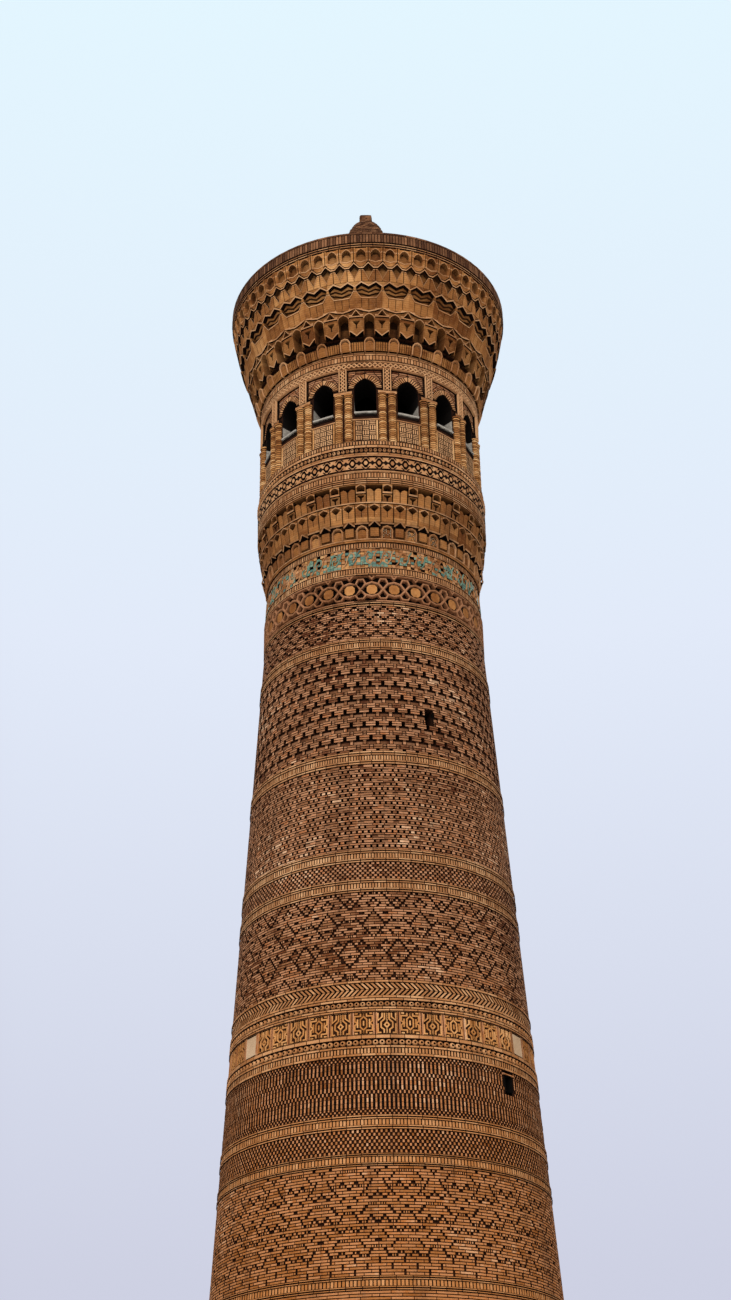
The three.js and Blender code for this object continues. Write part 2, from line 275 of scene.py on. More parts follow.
def fired_clay(name, stops, grime, dust=0.35, pitting=0.4, coursed=False):
    """Fired clay: a tone for each brick, fired patches, washed-down grime, a pitted face and painted shade,
    coursed or not.

    It turns more ochre towards the foot of the tower and takes mottled painted shade under the rosette
    frieze; levels are in model metres here.
    """
    material, shader, place = new_material(name)
    tone = place.node("ShaderNodeAttribute", {"attribute_name": "tone"}, 2)
    level = place.node("ShaderNodeSeparateXYZ", None, 2, Vector=place)
    clouds = noise(place, 0.9, 4)
    grain = noise(place, 60, 5, 0.62)
    mottle = noise(place, 9, 3)
    streaks = noise(place, 1.6, 4, 0.6, (2.4, 2.4, 0.35))
    fired = (tone * 0.8 + (clouds - 0.5) * 1.1 + (mottle - 0.5) * 0.6 + 0.1).clamped()
    base = place.node("ShaderNodeValToRGB", {"stops": stops}, Fac=fired)
    base = (level.band(10.4, 5.4) * 0.42).mixed(base, colour(190, 114, 42))
    # painted shade: mottled darkening over the lower cornice's heights
    lower_cornice_shade = level.band(14.6, 15.3) * level.band(16.3, 16.1)
    base = (lower_cornice_shade * mottle.band(0.42, 0.6) * 0.4).mixed(base, colour(66, 32, 14))
    washed = (streaks.band(0.5, 0.72) * 0.4).mixed(base, grime)
    speckled = (grain.band(0.55, 0.75) * dust).mixed(washed, colour(214, 176, 140))
    pitted_and_shaded = (grain.band(0.42, 0.3) * 0.45).mixed(speckled, colour(44, 20, 8))
    # painted shade: a per-face value that grows with depth darkens recesses and slots towards near-black
    soot = place.node("ShaderNodeAttribute", {"attribute_name": "soot"}, 2)
    pitted_and_shaded = (soot * (0.75 + clouds * 0.4)).clamped().mixed(pitted_and_shaded, colour(24, 9, 3))
    relief = grain + mottle * 0.6
    if coursed:
        wander = level / (COURSE * SCALE) + mottle * 0.25
        from_joint = wander.node("ShaderNodeMath", {"operation": "PINGPONG"}, _0=wander, _1=0.5)
        joint = from_joint.band(0.09, 0.03)
        pitted_and_shaded = (joint * 0.45).mixed(pitted_and_shaded, colour(34, 14, 5))
        relief = relief - joint * 1.5
    finish(shader, place, pitted_and_shaded, 0.8 + mottle * 0.18, relief, pitting, 0.006)
    return material


def make_materials():
    """All finishes by name."""
    brick = [
        (0.0, 92, 48, 26), (0.25, 136, 90, 59), (0.5, 164, 115, 82),
        (0.72, 184, 132, 97), (0.88, 160, 98, 58), (1.0, 212, 168, 132),
    ]
    pale = [(0.0, 146, 96, 58), (0.5, 176, 124, 82), (1.0, 206, 158, 114)]
    weathered = [(0.0, 64, 36, 22), (0.5, 104, 68, 44), (1.0, 150, 104, 72)]
    clay = [(0.0, 112, 64, 28), (0.35, 166, 110, 60), (0.7, 204, 148, 92), (1.0, 232, 184, 130)]
    return {
        "brick": fired_clay("brick", brick, colour(74, 46, 30)),
        "pale_brick": fired_clay("pale_brick", pale, colour(98, 62, 40)),
        "weathered": fired_clay("weathered", weathered, colour(56, 34, 22)),
        "terracotta": fired_clay("terracotta", clay, colour(92, 56, 32), 0.3),
        "clay": fired_clay("clay", clay, colour(92, 56, 32), 0.3, coursed=True),
        "mortar": make_mortar("mortar", colour(34, 15, 6), colour(54, 28, 14)),
        # near-black painted shade in holes, slots, grooves and the grounds behind reliefs
        "shade": make_mortar("shade", colour(9, 3, 1), colour(22, 9, 4)),
        "glaze": make_glaze(),
        "plaster": make_mortar("plaster", colour(176, 142, 110), colour(206, 176, 144)),
        "board": make_board(),
        # near-black painted shade for the lantern's interior, the slit windows' jambs and the kept vault and
        # floor
        "soot": make_mortar("soot", colour(7, 4, 3), colour(14, 9, 7)),
    }


def make_mortar(name, dark, light):
    """Sandy mortar or plaster, darker and lighter in patches; it also makes the near-black painted shade
    finishes.
    """
    material, shader, place = new_material(name)
    patches = noise(place, 2.2, 5, 0.6)
    sand = noise(place, 70, 4, 0.6)
    blend = (patches * 0.7 + sand * 0.3).clamped().band(0.3, 0.7)
    finish(shader, place, blend.mixed(dark, light), 0.9 + sand * 0.08, sand + patches, 0.35)
    return material


def make_glaze():
    """Weathered turquoise glaze: crazed, chipped to the clay in places, glossy where it is whole."""
    material, shader, place = new_material("glaze")
    tone = place.node("ShaderNodeAttribute", {"attribute_name": "tone"}, 2)
    clouds = noise(place, 3, 4)
    chips = noise(place, 16, 5, 0.65)
    worn = chips.band(0.56, 0.62)
    stops = [(0.0, 56, 88, 88), (0.5, 92, 124, 108), (1.0, 132, 152, 132)]
    shade = (tone * 0.6 + clouds * 0.6 - 0.1).clamped()
    glass = place.node("ShaderNodeValToRGB", {"stops": stops}, Fac=shade)
    base = worn.mixed(glass, colour(150, 104, 70))
    finish(shader, place, base, 0.4 + worn * 0.45, chips * 0.5 - worn * 0.5, 0.3)
    return material


def make_board():
    """Weathered pale board with long grain."""
    material, shader, place = new_material("board")
    grain = noise(place, 6, 6, 0.6, (3, 3, 40))
    base = grain.band(0.3, 0.7).mixed(colour(112, 104, 96), colour(196, 190, 180))
    finish(shader, place, base, 0.75 + grain * 0.15, grain, 0.4)
    return material


materials = make_materials()


# Surfaces


def on_tower(azimuth, height, radius):
    """Model points at azimuths in radians, heights and radii in real metres."""
    azimuth, height, radius = np.broadcast_arrays(azimuth, height, radius)
    return SCALE * np.stack([radius * np.sin(azimuth), -radius * np.cos(azimuth), height], axis=-1)


def shaft_radius(height):
    """Radius of the tapering shaft's brick face."""
    return FOOT_RADIUS - TAPER * height


def profile_radius(*points):
    """Face radius that runs straight between (height, radius) points."""
    heights, radii = np.array(points, float).T
    return lambda height: np.interp(height, heights, radii)


def sheet(points):
    """Quads between the rows and columns of a grid of points, (..., rows, columns, 3)."""
    low, high = points[..., :-1, :, :], points[..., 1:, :, :]
    return np.stack([low[..., :-1, :], low[..., 1:, :], high[..., 1:, :], high[..., :-1, :]], axis=-2)


def wall_between(near, far):
    """Quads between two closed loops of points, (..., points, 3), that run the same way round."""
    return np.stack([near, np.roll(near, -1, axis=-2), np.roll(far, -1, axis=-2), far], axis=-2)


def cell_mean(values):
    """Mean of the four corners of each cell of a grid of values."""
    low, high = values[..., :-1, :], values[..., 1:, :]
    return (low[..., :-1] + high[..., :-1] + low[..., 1:] + high[..., 1:]) / 4


def unit(vectors):
    """Vectors brought to a length of one."""
    return vectors / (np.linalg.norm(vectors, axis=-1, keepdims=True) + 1e-12)


class Skin:
    """Quads of one piece, gathered as arrays of corners with a tone, a painted shade value and a finish for
    each.
    """

    def __init__(self, face):
        self.face = face
        self.corners = []
        self.tones = []
        self.painted_shades = []
        self.finishes = []
        self.rounded = []

    def add(self, quads, finish_name, tone=0.5, rounded=False, soot=0.0):
        """Adds quads, (..., 4, 3), in model metres; tone and painted shade values go to equal shares of them.
        """
        quads = np.asarray(quads, float).reshape(-1, 4, 3)
        self.corners.append(quads)
        for kept, given in ((self.tones, tone), (self.painted_shades, soot), (self.rounded, rounded)):
            kept.append(np.repeat(given, len(quads) // max(np.size(given), 1)))
        self.finishes.append((finish_name, len(quads)))

    def join(self, other):
        """Takes over all the quads of another skin."""
        for own, others in zip(vars(self).values(), vars(other).values()):
            if isinstance(own, list):
                own += others

    def place(self, azimuth, height, depth):
        """Points behind or before the face by a depth."""
        return on_tower(azimuth, height, self.face(height) - depth)

    def ring(self, points, finish_name, tone=0.5):
        """Adds the sheet of a grid of points, (rows, columns, 3), closed round the tower."""
        self.add(sheet(np.concatenate([points, points[:, :1]], axis=1)), finish_name, tone)


def make_piece(name, skin, slot, *nodes):
    """Mesh object of a skin, its corners welded, riding on the tower in place of its CAD nodes."""
    quads = np.concatenate(skin.corners)
    area = np.linalg.norm(np.cross(quads[:, 2] - quads[:, 0], quads[:, 3] - quads[:, 1]), axis=1)
    real = area > LEAST_AREA
    quads = quads[real]
    corners = quads.reshape(-1, 3)
    keys = np.round(corners * WELD_STEPS).astype(np.int64) + 2 ** (KEY_BITS - 1)
    packed = (keys[:, 0] << 2 * KEY_BITS) | (keys[:, 1] << KEY_BITS) | keys[:, 2]
    _, first, index = np.unique(packed, return_index=True, return_inverse=True)
    mesh = bpy.data.meshes.new(name)
    mesh.vertices.add(len(first))
    mesh.vertices.foreach_set("co", corners[first].astype(np.float32).ravel())
    mesh.loops.add(len(index))
    mesh.loops.foreach_set("vertex_index", index.astype(np.int32).ravel())
    mesh.polygons.add(len(quads))
    mesh.polygons.foreach_set("loop_start", np.arange(0, len(index), 4, dtype=np.int32))
    names = list(dict.fromkeys(finish_name for finish_name, _ in skin.finishes))
    choice = np.concatenate([np.full(count, names.index(label)) for label, count in skin.finishes])
    for finish_name in names:
        mesh.materials.append(materials[finish_name])
    mesh.polygons.foreach_set("material_index", choice[real].astype(np.int32))
    mesh.polygons.foreach_set("use_smooth", np.concatenate(skin.rounded)[real])
    for label, values in (("tone", skin.tones), ("soot", skin.painted_shades)):
        layer = mesh.attributes.new(label, "FLOAT", "FACE")
        layer.data.foreach_set("value", np.concatenate(values)[real].astype(np.float32))
    mesh.update(calc_edges=True)
    mesh.validate()
    piece = bpy.data.objects.new(name, mesh)
    bpy.context.scene.collection.objects.link(piece)
    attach(piece, "root")
    if nodes:
        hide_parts(*nodes)


# Outlines and paths


def between(across, low, high):
    """Outlines that run along a lower curve over their columns and back along an upper one."""
    across, low, high = np.broadcast_arrays(across, low, high)
    lower, upper = np.stack([across, low], axis=-1), np.stack([across, high], axis=-1)
    return np.concatenate([lower, upper[..., ::-1, :]], axis=-2)


def oblongs(left, right, low, high):
    """Outlines of upright oblongs."""
    left, right, low, high = (np.ravel(value) for value in np.broadcast_arrays(left, right, low, high))
    return between(np.stack([left, right], axis=1), low[:, None], high[:, None])


def slanted(corners):
    """Outlines from four (azimuths, heights) corners."""
    return np.stack([np.stack(np.broadcast_arrays(a, h), axis=1) for a, h in corners], axis=1)


def spread(count, phase, across=0.0):
    """Azimuths of places in each of count cells round the tower, given in cell widths from its middle."""
    return (np.arange(count)[:, None] + np.atleast_1d(across)) * TAU / count + phase * DEGREE


def paths_over(count, phase, points):
    """The same open or closed path of (cell widths, height) points in each of count cells."""
    across, height = np.array(points, float).T
    azimuth = spread(count, phase, across)
    return np.stack([azimuth, np.broadcast_to(height, azimuth.shape)], axis=-1)


def waves_round(count, phase, points):
    """One closed path round the tower that repeats (cell widths, height) points in each of count cells."""
    return paths_over(count, phase, points).reshape(1, -1, 2)


def mirrored(points):
    """The path's mirror image about the middle of its cell."""
    return [(-across, height) for across, height in points][::-1]


# Tiles, sheets, straps and beads


def add_tiles(
    skin, corners, depth, finish_name, tone=None, bevel=JOINT, groove=GROOVE, foot=None, sides="mortar"
):
    """Raised tiles: each outline of (azimuth, height) corners carries a face set in by the bevel.

    An outline runs along its lower edge and back along its upper one, so the face is a ladder of quads
    between the two. It stands at its depth and its sides slope back by the groove to the outline; with a
    foot depth they then go straight back to it.
    """
    corners = np.asarray(corners, float)
    count, rim = corners.shape[:2]
    depth = np.broadcast_to(np.asarray(depth, float), count)[:, None]
    tone = random.random(count) if tone is None else tone
    radius = skin.face(corners[:, :, 1]).mean(axis=1)[:, None, None]
    metric = np.concatenate([radius, np.ones_like(radius)], axis=2)
    flat = corners * metric
    to_next = unit(np.roll(flat, -1, axis=1) - flat)
    inward = np.stack([-to_next[..., 1], to_next[..., 0]], axis=2)
    mitre = inward + np.roll(inward, 1, axis=1)
    mitre *= 2 / np.maximum((mitre**2).sum(axis=2, keepdims=True), TILE_MITRE)
    inner = (flat + bevel * mitre) / metric
    front = skin.place(inner[:, :, 0], inner[:, :, 1], depth)
    base = skin.place(corners[:, :, 0], corners[:, :, 1], depth + groove)
    half = rim // 2
    skin.add(sheet(np.stack([front[:, :half], front[:, half:][:, ::-1]], axis=1)), finish_name, tone)
    if foot is not None:
        skin.add(wall_between(skin.place(corners[:, :, 0], corners[:, :, 1], foot), base), sides, tone)
    skin.add(wall_between(base, front), sides, tone)


def add_ground(skin, low, high, depth, finish_name="shade", sides=120):
    """Plain wall behind the relief, at one depth all round the tower."""
    azimuth = np.arange(sides) * TAU / sides
    skin.ring(skin.place(azimuth, np.array([[low], [high]]), depth), finish_name)


def add_cells(skin, across, low, high, depth, finish_name, rim=None, tone=None, sides=None):
    """One sheet for each cell between a lower and an upper curve over its columns.

    The depths go evenly from the lower curve to the upper one. With a rim depth, walls join the sheet's edge
    to it: a pocket's sides where the rim is nearer, a raised block's where it is further.
    """
    across = np.atleast_2d(across)
    depth = np.asarray(depth, float)[:, None]
    share = np.linspace(0, 1, len(depth))[:, None]
    low, high = np.atleast_2d(low)[:, None, :], np.atleast_2d(high)[:, None, :]
    azimuth, height, depth = np.broadcast_arrays(across[:, None, :], low + share * (high - low), depth)
    tone = random.random(len(azimuth)) if tone is None else tone
    # painted shade: each sheet and its walls darken the deeper they lie behind the rim
    soot = np.clip(cell_mean(depth - (rim or 0.0)) / FULL_SHADE_DEPTH, 0, 1)
    skin.add(sheet(skin.place(azimuth, height, depth)), finish_name, tone, soot=soot)
    if rim is not None:
        loops = [
            np.concatenate([v[:, 0, :-1], v[:, :-1, -1], v[:, -1, :0:-1], v[:, :0:-1, 0]], axis=1)
            for v in (azimuth, height, depth)
        ]
        walls = wall_between(skin.place(loops[0], loops[1], rim), skin.place(*loops))
        soot = np.clip((loops[2] - rim) / FULL_SHADE_DEPTH, 0, WALL_SHADE_LIMIT)
        skin.add(walls, sides or finish_name, tone, soot=soot)


def add_ribbons(skin, paths, width, depth, foot, finish_name, closed=False, bevel=0.25, tone=None):
    """Raised straps: a bevelled bar profile carried along each path of (azimuth, height) points.

    The profile's corners lie across the path on its mitred normal, at the foot, at the shoulders and on top.
    """
    paths = np.asarray(paths, float)
    tone = random.random(len(paths)) if tone is None else tone
    metric = np.array([skin.face(paths[..., 1]).mean(), 1.0])
    flat = paths * metric
    ahead = np.roll(flat, -1, axis=1) - flat
    behind = np.roll(ahead, 1, axis=1)
    if not closed:
        ahead[:, -1], behind[:, 0] = ahead[:, -2], ahead[:, 0]
    mean = unit(ahead) + unit(behind)
    normal = np.stack([-mean[..., 1], mean[..., 0]], axis=2)
    normal *= 2 / np.maximum((normal**2).sum(axis=2, keepdims=True), STRAP_MITRE)
    side = np.array([-0.5, -0.5, bevel - 0.5, 0.5 - bevel, 0.5, 0.5]) * width
    back = np.array([foot, depth + bevel * width, depth, depth, depth + bevel * width, foot])
    across = (flat[:, None] + side[:, None, None] * normal[:, None]) / metric
    points = skin.place(across[..., 0], across[..., 1], np.broadcast_to(back[:, None], across.shape[:3]))
    if closed:
        points = np.concatenate([points, points[:, :, :1]], axis=2)
    skin.add(sheet(points), finish_name, tone)
    if not closed:
        for end, order in ((0, (5, 4, 1, 0)), (-1, (0, 1, 4, 5))):
            skin.add(points[:, order, end], finish_name, tone)


def add_beads(skin, azimuth, height, wide, tall, depth, finish_name, hole=0.0, sides=8):
    """Rounded bosses: rings of an ellipse that rise as a quarter circle, hollowed in the middle if asked."""
    share = np.array([1.0, 0.92, 0.7, 0.4, 0.0])
    rise = np.sqrt(1 - share**2) - hole * np.array([0, 0, 0, 0.2, 1.6])
    turn = np.arange(sides + 1) * TAU / sides
    azimuth, height = np.broadcast_arrays(azimuth, height)
    radius = skin.face(height)[:, None, None]
    along = azimuth[:, None, None] + share[:, None] * np.cos(turn) * wide / 2 / radius
    up = height[:, None, None] + share[:, None] * np.sin(turn) * tall / 2
    points = skin.place(along, up, depth - rise[:, None] * min(wide, tall) * 0.45)
    skin.add(sheet(points), finish_name, random.random(len(points)), rounded=True)


# Brickwork


def add_brickwork(skin, levels, depth, starts, finish_name="brick", hole=None, edge=BODY_DEPTH):
    """Coursed brickwork round the whole tower.

    Row j lies between levels[j] and levels[j + 1]; depth[j, c] is how far each cell stands behind the
    face. Cells run together into one brick until a start mark or another depth. Each brick's face stands
    between two slopes that run back to the bed joints, and a dark head joint parts it from a brick of the
    same depth on its left. Cells deeper than a mark's least depth are flat and dark, and black where they
    are holes. Walls join cells of different depth, and the lowest and highest rows run back to the edge
    depth. The hole is a mask of cells left open.
    """
    rows, cells = depth.shape
    step = TAU / cells
    flat = depth > MARK_DEPTH
    base = depth + np.where(flat, 0, BED)
    opened = np.zeros_like(flat) if hole is None else hole
    begins = starts | (depth != np.roll(depth, 1, axis=1)) | (opened != np.roll(opened, 1, axis=1))
    row, left = np.nonzero(begins)
    counts = np.bincount(row, minlength=rows)
    ends = np.roll(left, -1)
    last = np.cumsum(counts) - 1
    ends[last] = left[last - counts + 1] + cells
    keep = ~opened[row, left]
    row, left, ends = row[keep], left[keep], ends[keep]
    tone = random.random(len(row))
    dark = flat[row, left]
    corners = oblongs(left * step, ends * step, levels[row], levels[row + 1])[dark]
    back = depth[row, left][dark]
    quads = skin.place(corners[..., 0], corners[..., 1], back[:, None])
    skin.add(quads[back > HOLE_DEPTH], "shade")
    skin.add(quads[back <= HOLE_DEPTH], "mortar", tone[dark][back <= HOLE_DEPTH])
    row, left, ends, tone = row[~dark], left[~dark], ends[~dark], tone[~dark]
    front = depth[row, left]
    before, after = depth[row, left - 1], depth[row, ends % cells]
    low, high = levels[row], levels[row + 1]
    first, final = left * step, ends * step
    head = np.where(before == front, first + HEAD_JOINT / skin.face(low), first)
    heights = np.stack([low, low + JOINT, high - JOINT, high], axis=1)
    depths = np.stack([front + BED, front, front, front + BED], axis=1)
    on_left, on_head, on_right = (skin.place(end[:, None], heights, depths) for end in (first, head, final))
    shadow = np.clip(front * SHADOW_RATE, 0, 0.5)
    whole, brick = sheet(np.stack([on_left, on_right], axis=2)), sheet(np.stack([on_head, on_right], axis=2))
    for part, quads, name in ((0, whole, "mortar"), (1, brick, finish_name), (2, whole, "mortar")):
        skin.add(quads[:, part], name, tone, soot=shadow)
    jointed = before == front
    skin.add(sheet(np.stack([on_left, on_head], axis=2))[jointed, 1], "mortar")
    skin.add(on_left[:, ::-1][~jointed], "mortar")
    skin.add(on_right[after != front], "mortar")
    add_walls(skin, levels, np.where(opened, OPEN_DEPTH, base), edge)


def add_walls(skin, levels, base, edge):
    """Upright and level walls between neighbouring cells whose base depths differ."""
    cells = base.shape[1]
    step = TAU / cells
    before = np.roll(base, 1, axis=1)
    row, cell = np.nonzero(base != before)
    low, high = levels[row], levels[row + 1]
    near, far = before[row, cell], base[row, cell]
    azimuth = (cell * step)[:, None]
    quads = skin.place(azimuth, np.stack([low, low, high, high], 1), np.stack([near, far, far, near], 1))
    skin.add(quads, "mortar", random.random(len(quads)))
    margin = np.full((1, cells), edge)
    under, over = np.concatenate([margin, base]), np.concatenate([base, margin])
    differs = under != over
    same = (np.roll(under, 1, axis=1) == under) & (np.roll(over, 1, axis=1) == over)
    begins = differs & ~(same & (np.arange(cells) % LONGEST_WALL > 0))
    row, cell = np.nonzero(begins)
    ends = next_stop(begins | ~differs)[row, cell]
    first, final = cell * step, ends * step
    near, far = under[row, cell], over[row, cell]
    azimuth, depth = np.stack([first, final, final, first], 1), np.stack([near, near, far, far], 1)
    quads = skin.place(azimuth, levels[row][:, None], depth)
    skin.add(quads, "mortar", random.random(len(quads)))


def next_stop(stops):
    """For each cell, the place of the next marked cell to its right, counting on past the last column."""
    cells = stops.shape[1]
    doubled = np.concatenate([stops, stops], axis=1)
    place = np.where(doubled, np.arange(2 * cells), 4 * cells)
    ahead = np.minimum.accumulate(place[:, ::-1], axis=1)[:, ::-1]
    return ahead[:, 1 : cells + 1]


def round_past(hole, sides):
    """Azimuths round the tower with a hole's edges among them, and a mask of the steps that lie outside it.

    The hole is (azimuth in radians, half width in radians, ...) of an opening, or None.
    """
    azimuth = np.arange(sides) * TAU / sides
    if hole is None:
        return azimuth, np.ones(sides, bool)
    azimuth = np.sort(np.append(azimuth, [hole[0] - hole[1], hole[0] + hole[1]]))
    middle = azimuth + np.diff(np.append(azimuth, azimuth[0] + TAU)) / 2
    return azimuth, np.abs(middle - hole[0]) > hole[1]


def add_body(skin, low, high, inset=BODY_DEPTH, well=WELL_RADIUS, hole=None):
    """Closes a band: its flat top and bottom from the inset to the well, and the wall of the well itself.

    The hole is (azimuth in radians, half width in radians, low, high) of an opening that comes through.
    """
    azimuth, outside = round_past(hole, BODY_SIDES)
    for level, flip in ((low, 1), (high, -1)):
        outer = on_tower(azimuth, level, skin.face(level) - inset)
        skin.ring(np.stack([on_tower(azimuth, level, well), outer][::flip]), "mortar")
    levels = [high, low] if hole is None else [high, hole[3], hole[2], low]
    wall = np.stack([on_tower(azimuth, level, well) for level in levels])
    quads = sheet(np.concatenate([wall, wall[:, :1]], axis=1))
    keep = np.ones(quads.shape[:2], bool)
    if hole is not None:
        keep[1] = outside
    skin.add(quads[keep], "mortar")


def close_ring(skin, node, ending, slot, **body):
    """Closes a ring between its levels and makes its piece in place of its CAD node."""
    low, high = LEVELS[node]
    add_body(skin, low, high - SEAT, **body)
    make_piece(f"{node}_{ending}", skin, slot, node)


def bond(rows, cells, length):
    """Marks where bricks start when each is length cells long and each course is shifted by half a brick."""
    row, cell = rows_and_cells(rows, cells)
    return (cell + (row % 2) * (length // 2)) % length == 0


def rows_and_cells(rows, cells):
    """Row and cell numbers as a column and a row that broadcast together."""
    return np.arange(rows)[:, None], np.arange(cells)[None, :]


def add_ledge(skin, low, high, rows=1, proud=LEDGE_PROUD, bricks=72, finish_name="pale_brick"):
    """Projecting courses of long bricks."""
    starts = bond(rows, bricks * 4, 4)
    add_brickwork(skin, np.linspace(low, high, rows + 1), np.full(starts.shape, -proud), starts, finish_name)


def add_soldiers(
    skin, low, high, count, depth=0.0, fill=0.74, finish_name="pale_brick", back="shade", hole=None,
    phase=0.0, bevel=0.005,
):
    """A row of bricks on end with open joints between them, over a dark ground."""
    middle = spread(count, phase)[:, 0]
    half = fill * math.pi / count
    if hole is not None:
        middle = middle[np.abs(middle - hole[0]) > hole[1] + 2 * half]
    jitter = random.normal(0, SOLDIER_WEAR, len(middle))
    outline = oblongs(middle - half, middle + half, low, high)
    add_tiles(skin, outline, depth + jitter, finish_name, groove=SOLDIER_GROOVE, bevel=bevel)
    azimuth, outside = round_past(hole, 120)
    loop = np.append(azimuth, azimuth[0] + TAU)
    strip = skin.place(loop[None, :], np.array([[low], [high]]), depth + SOLDIER_BACK)
    skin.add(sheet(strip)[0, outside], back)


def add_ring(skin, low, high):
    """Soldiers between two pairs of ledge courses, with dark slots round them."""
    ledge = (high - low - SOLDIER) / 2
    for foot, top in ((low, low + ledge), (high - ledge, high)):
        middle = (foot + top) / 2
        add_ledge(skin, foot, middle - LEDGE_JOINT / 2)
        add_ledge(skin, middle + LEDGE_JOINT / 2, top)
    add_soldiers(skin, low + ledge, high - ledge, RING_SOLDIERS, fill=0.8)


# Patterns of the shaft's bands


def hooked_pattern(rows, units):
    """Pairs of stretchers over deep holes, an upright brick under each pair, half shifted every six courses.

    Counted down from the top: two courses with a small sunk square between the stretchers, two with a
    deep hole, and two where a dark gap lies over a sunk brick between the uprights.
    """
    width = 14
    down, cell = rows_and_cells(rows, units * width)
    down = rows - 1 - down
    unit, part = down // 6, (down % 6) // 2
    along = (cell + (unit % 2) * (width // 2)) % width
    hole = (along < 2) | (along >= 12)
    upright = (along >= 6) & (along < 9)
    beside = (along == 5) | (along == 9)
    depth = np.zeros((rows, units * width))
    depth[(part == 0) & beside] = 0.05
    depth[(part == 0) & upright] = 0.02
    depth[(part == 1) & hole] = 0.13
    depth[(part == 2) & ~upright] = 0.03
    depth[(part == 2) & beside | (down % 6 == 4) & ~upright] = 0.06
    return depth, np.zeros(depth.shape, bool)


def pierced_pattern(rows, units):
    """Every other course is pierced by small square holes between headers, over a plain course.

    A unit has six places. In each pierced course in turn every place, two of three or half of them have a
    hole.
    """
    row, cell = rows_and_cells(rows, units * 30)
    pair = row // 2
    cell = cell + 2 * (pair % 2)
    place, turn = (cell // 5) % 6, pair % 6
    every = (turn == 0) | (turn == 3)
    most = (turn % 3 == 1) & ((place + turn) % 3 != 0)
    half = ((turn == 2) & (place > 2)) | ((turn == 5) & (place < 3))
    holed = (every | most | half) & (row % 2 == 1)
    depth = np.where(holed & (cell % 5 > 2), 0.12, 0.0)
    depth = np.where((row % 2 == 1) & ~holed & (place % 2 == 0), 0.025, depth)
    return depth, bond(rows, units * 30, 10) & (row % 2 == 0)


def stroke_pattern(
    rows, units, period, strokes, combs=(), size=24, anchor=0.0, thick=0.6, depth=0.05, length=10
):
    """Stepped marks in plain courses.

    A unit is size cells wide, mirrored about its middle and its edge, and each period of courses further
    down is shifted by half a unit. A stroke (x0, y0, x1, y1) marks one place in every course between y0
    and y1, counted down from the anchor, where the straight line between its ends passes. A comb (x0, x1,
    y) marks every other half cell of one course.
    """
    row, cell = rows_and_cells(rows, units * size * 2)
    down = rows - row - 0.5 - anchor
    dark = np.zeros((rows, units * size * 2), bool)
    for lap in (-1, 0, 1):
        turn = np.floor(down / period) + lap
        y = down - turn * period
        x = ((cell + 0.5) / 2 + size / 2 * (turn % 2)) % size
        x = np.minimum(x, size - x)
        for x0, y0, x1, y1 in strokes:
            along = x0 + (x1 - x0) * (y - y0) / (y1 - y0)
            dark |= (y > y0 - 0.01) & (y < y1 + 0.01) & (np.abs(x - along) < thick)
        for x0, x1, level in combs:
            dark |= (np.abs(y - level) < 0.5) & (x > x0) & (x < x1) & (cell % 2 == 0)
    return np.where(dark, depth, 0.0), bond(rows, units * size * 2, length)


def courses(low, high):
    """Number of courses between two levels."""
    return round((high - low) / COURSE)


# Bands and rings of the shaft


def slit_mask(levels, cells, slit):
    """Cells of a band that its slit window leaves open."""
    azimuth, width, low, high = slit
    middle = (np.arange(cells) + 0.5) * TAU / cells
    open_cells = np.abs(middle - azimuth * DEGREE) < width / 2 / shaft_radius(low)
    centre = (levels[:-1] + levels[1:]) / 2
    return ((centre > low) & (centre < high))[:, None] & open_cells


def slit_frame(skin, slit):
    """Dark jambs of a slit window from the face to the well, in painted shade, and a thin lintel brick; gives
    the hole.
    """
    azimuth, width, low, high = slit
    middle, half = azimuth * DEGREE, width / 2 / shaft_radius(low)
    lintel = [(middle - half - 0.02, high + 0.02), (middle + half + 0.02, high + 0.02)]
    add_ribbons(skin, [lintel], 0.03, -0.02, 0.05, "brick")
    across, height = middle + half * np.array([-1, 1, 1, -1]), np.array([low, low, high, high])
    deep = shaft_radius(low) - WELL_RADIUS
    skin.add(wall_between(skin.place(across, height, 0.0), skin.place(across, height, deep)), "soot")
    return middle, half, low, high


def parts_of(node, slit):
    """Names of a band's CAD nodes: one, or three where a slit window has a course of its own."""
    return [node + part for part in ("_lower", "_slit_course", "_upper")] if slit else [node]


def make_band(node, pattern, slit=None, heights=(1.0,)):
    """One patterned band of the shaft in place of its CAD nodes; the row heights repeat upwards."""
    low, high = LEVELS[node]
    depth, starts = pattern
    share = np.append(0.0, np.cumsum(np.resize(heights, len(depth))))
    levels = low + (high - SEAT - low) * share / share[-1]
    skin = Skin(shaft_radius)
    mask = slit_mask(levels, depth.shape[1], slit) if slit else None
    hole = slit_frame(skin, slit) if slit else None
    add_brickwork(skin, levels, depth, starts, hole=mask)
    add_body(skin, low, high - SEAT, hole=hole)
    make_piece(node + "_brickwork", skin, "brick", *parts_of(node, slit))


def make_marked_band(node, units, period, strokes, combs=(), **marks):
    """One band of plain courses with stepped marks."""
    make_band(node, stroke_pattern(courses(*LEVELS[node]), units, period, strokes, combs, **marks))


def make_ring(node):
    """One plain ring between bands."""
    low, high = LEVELS[node]
    skin = Skin(shaft_radius)
    add_ring(skin, low, high - SEAT)
    close_ring(skin, node, "courses", "pale_brick")


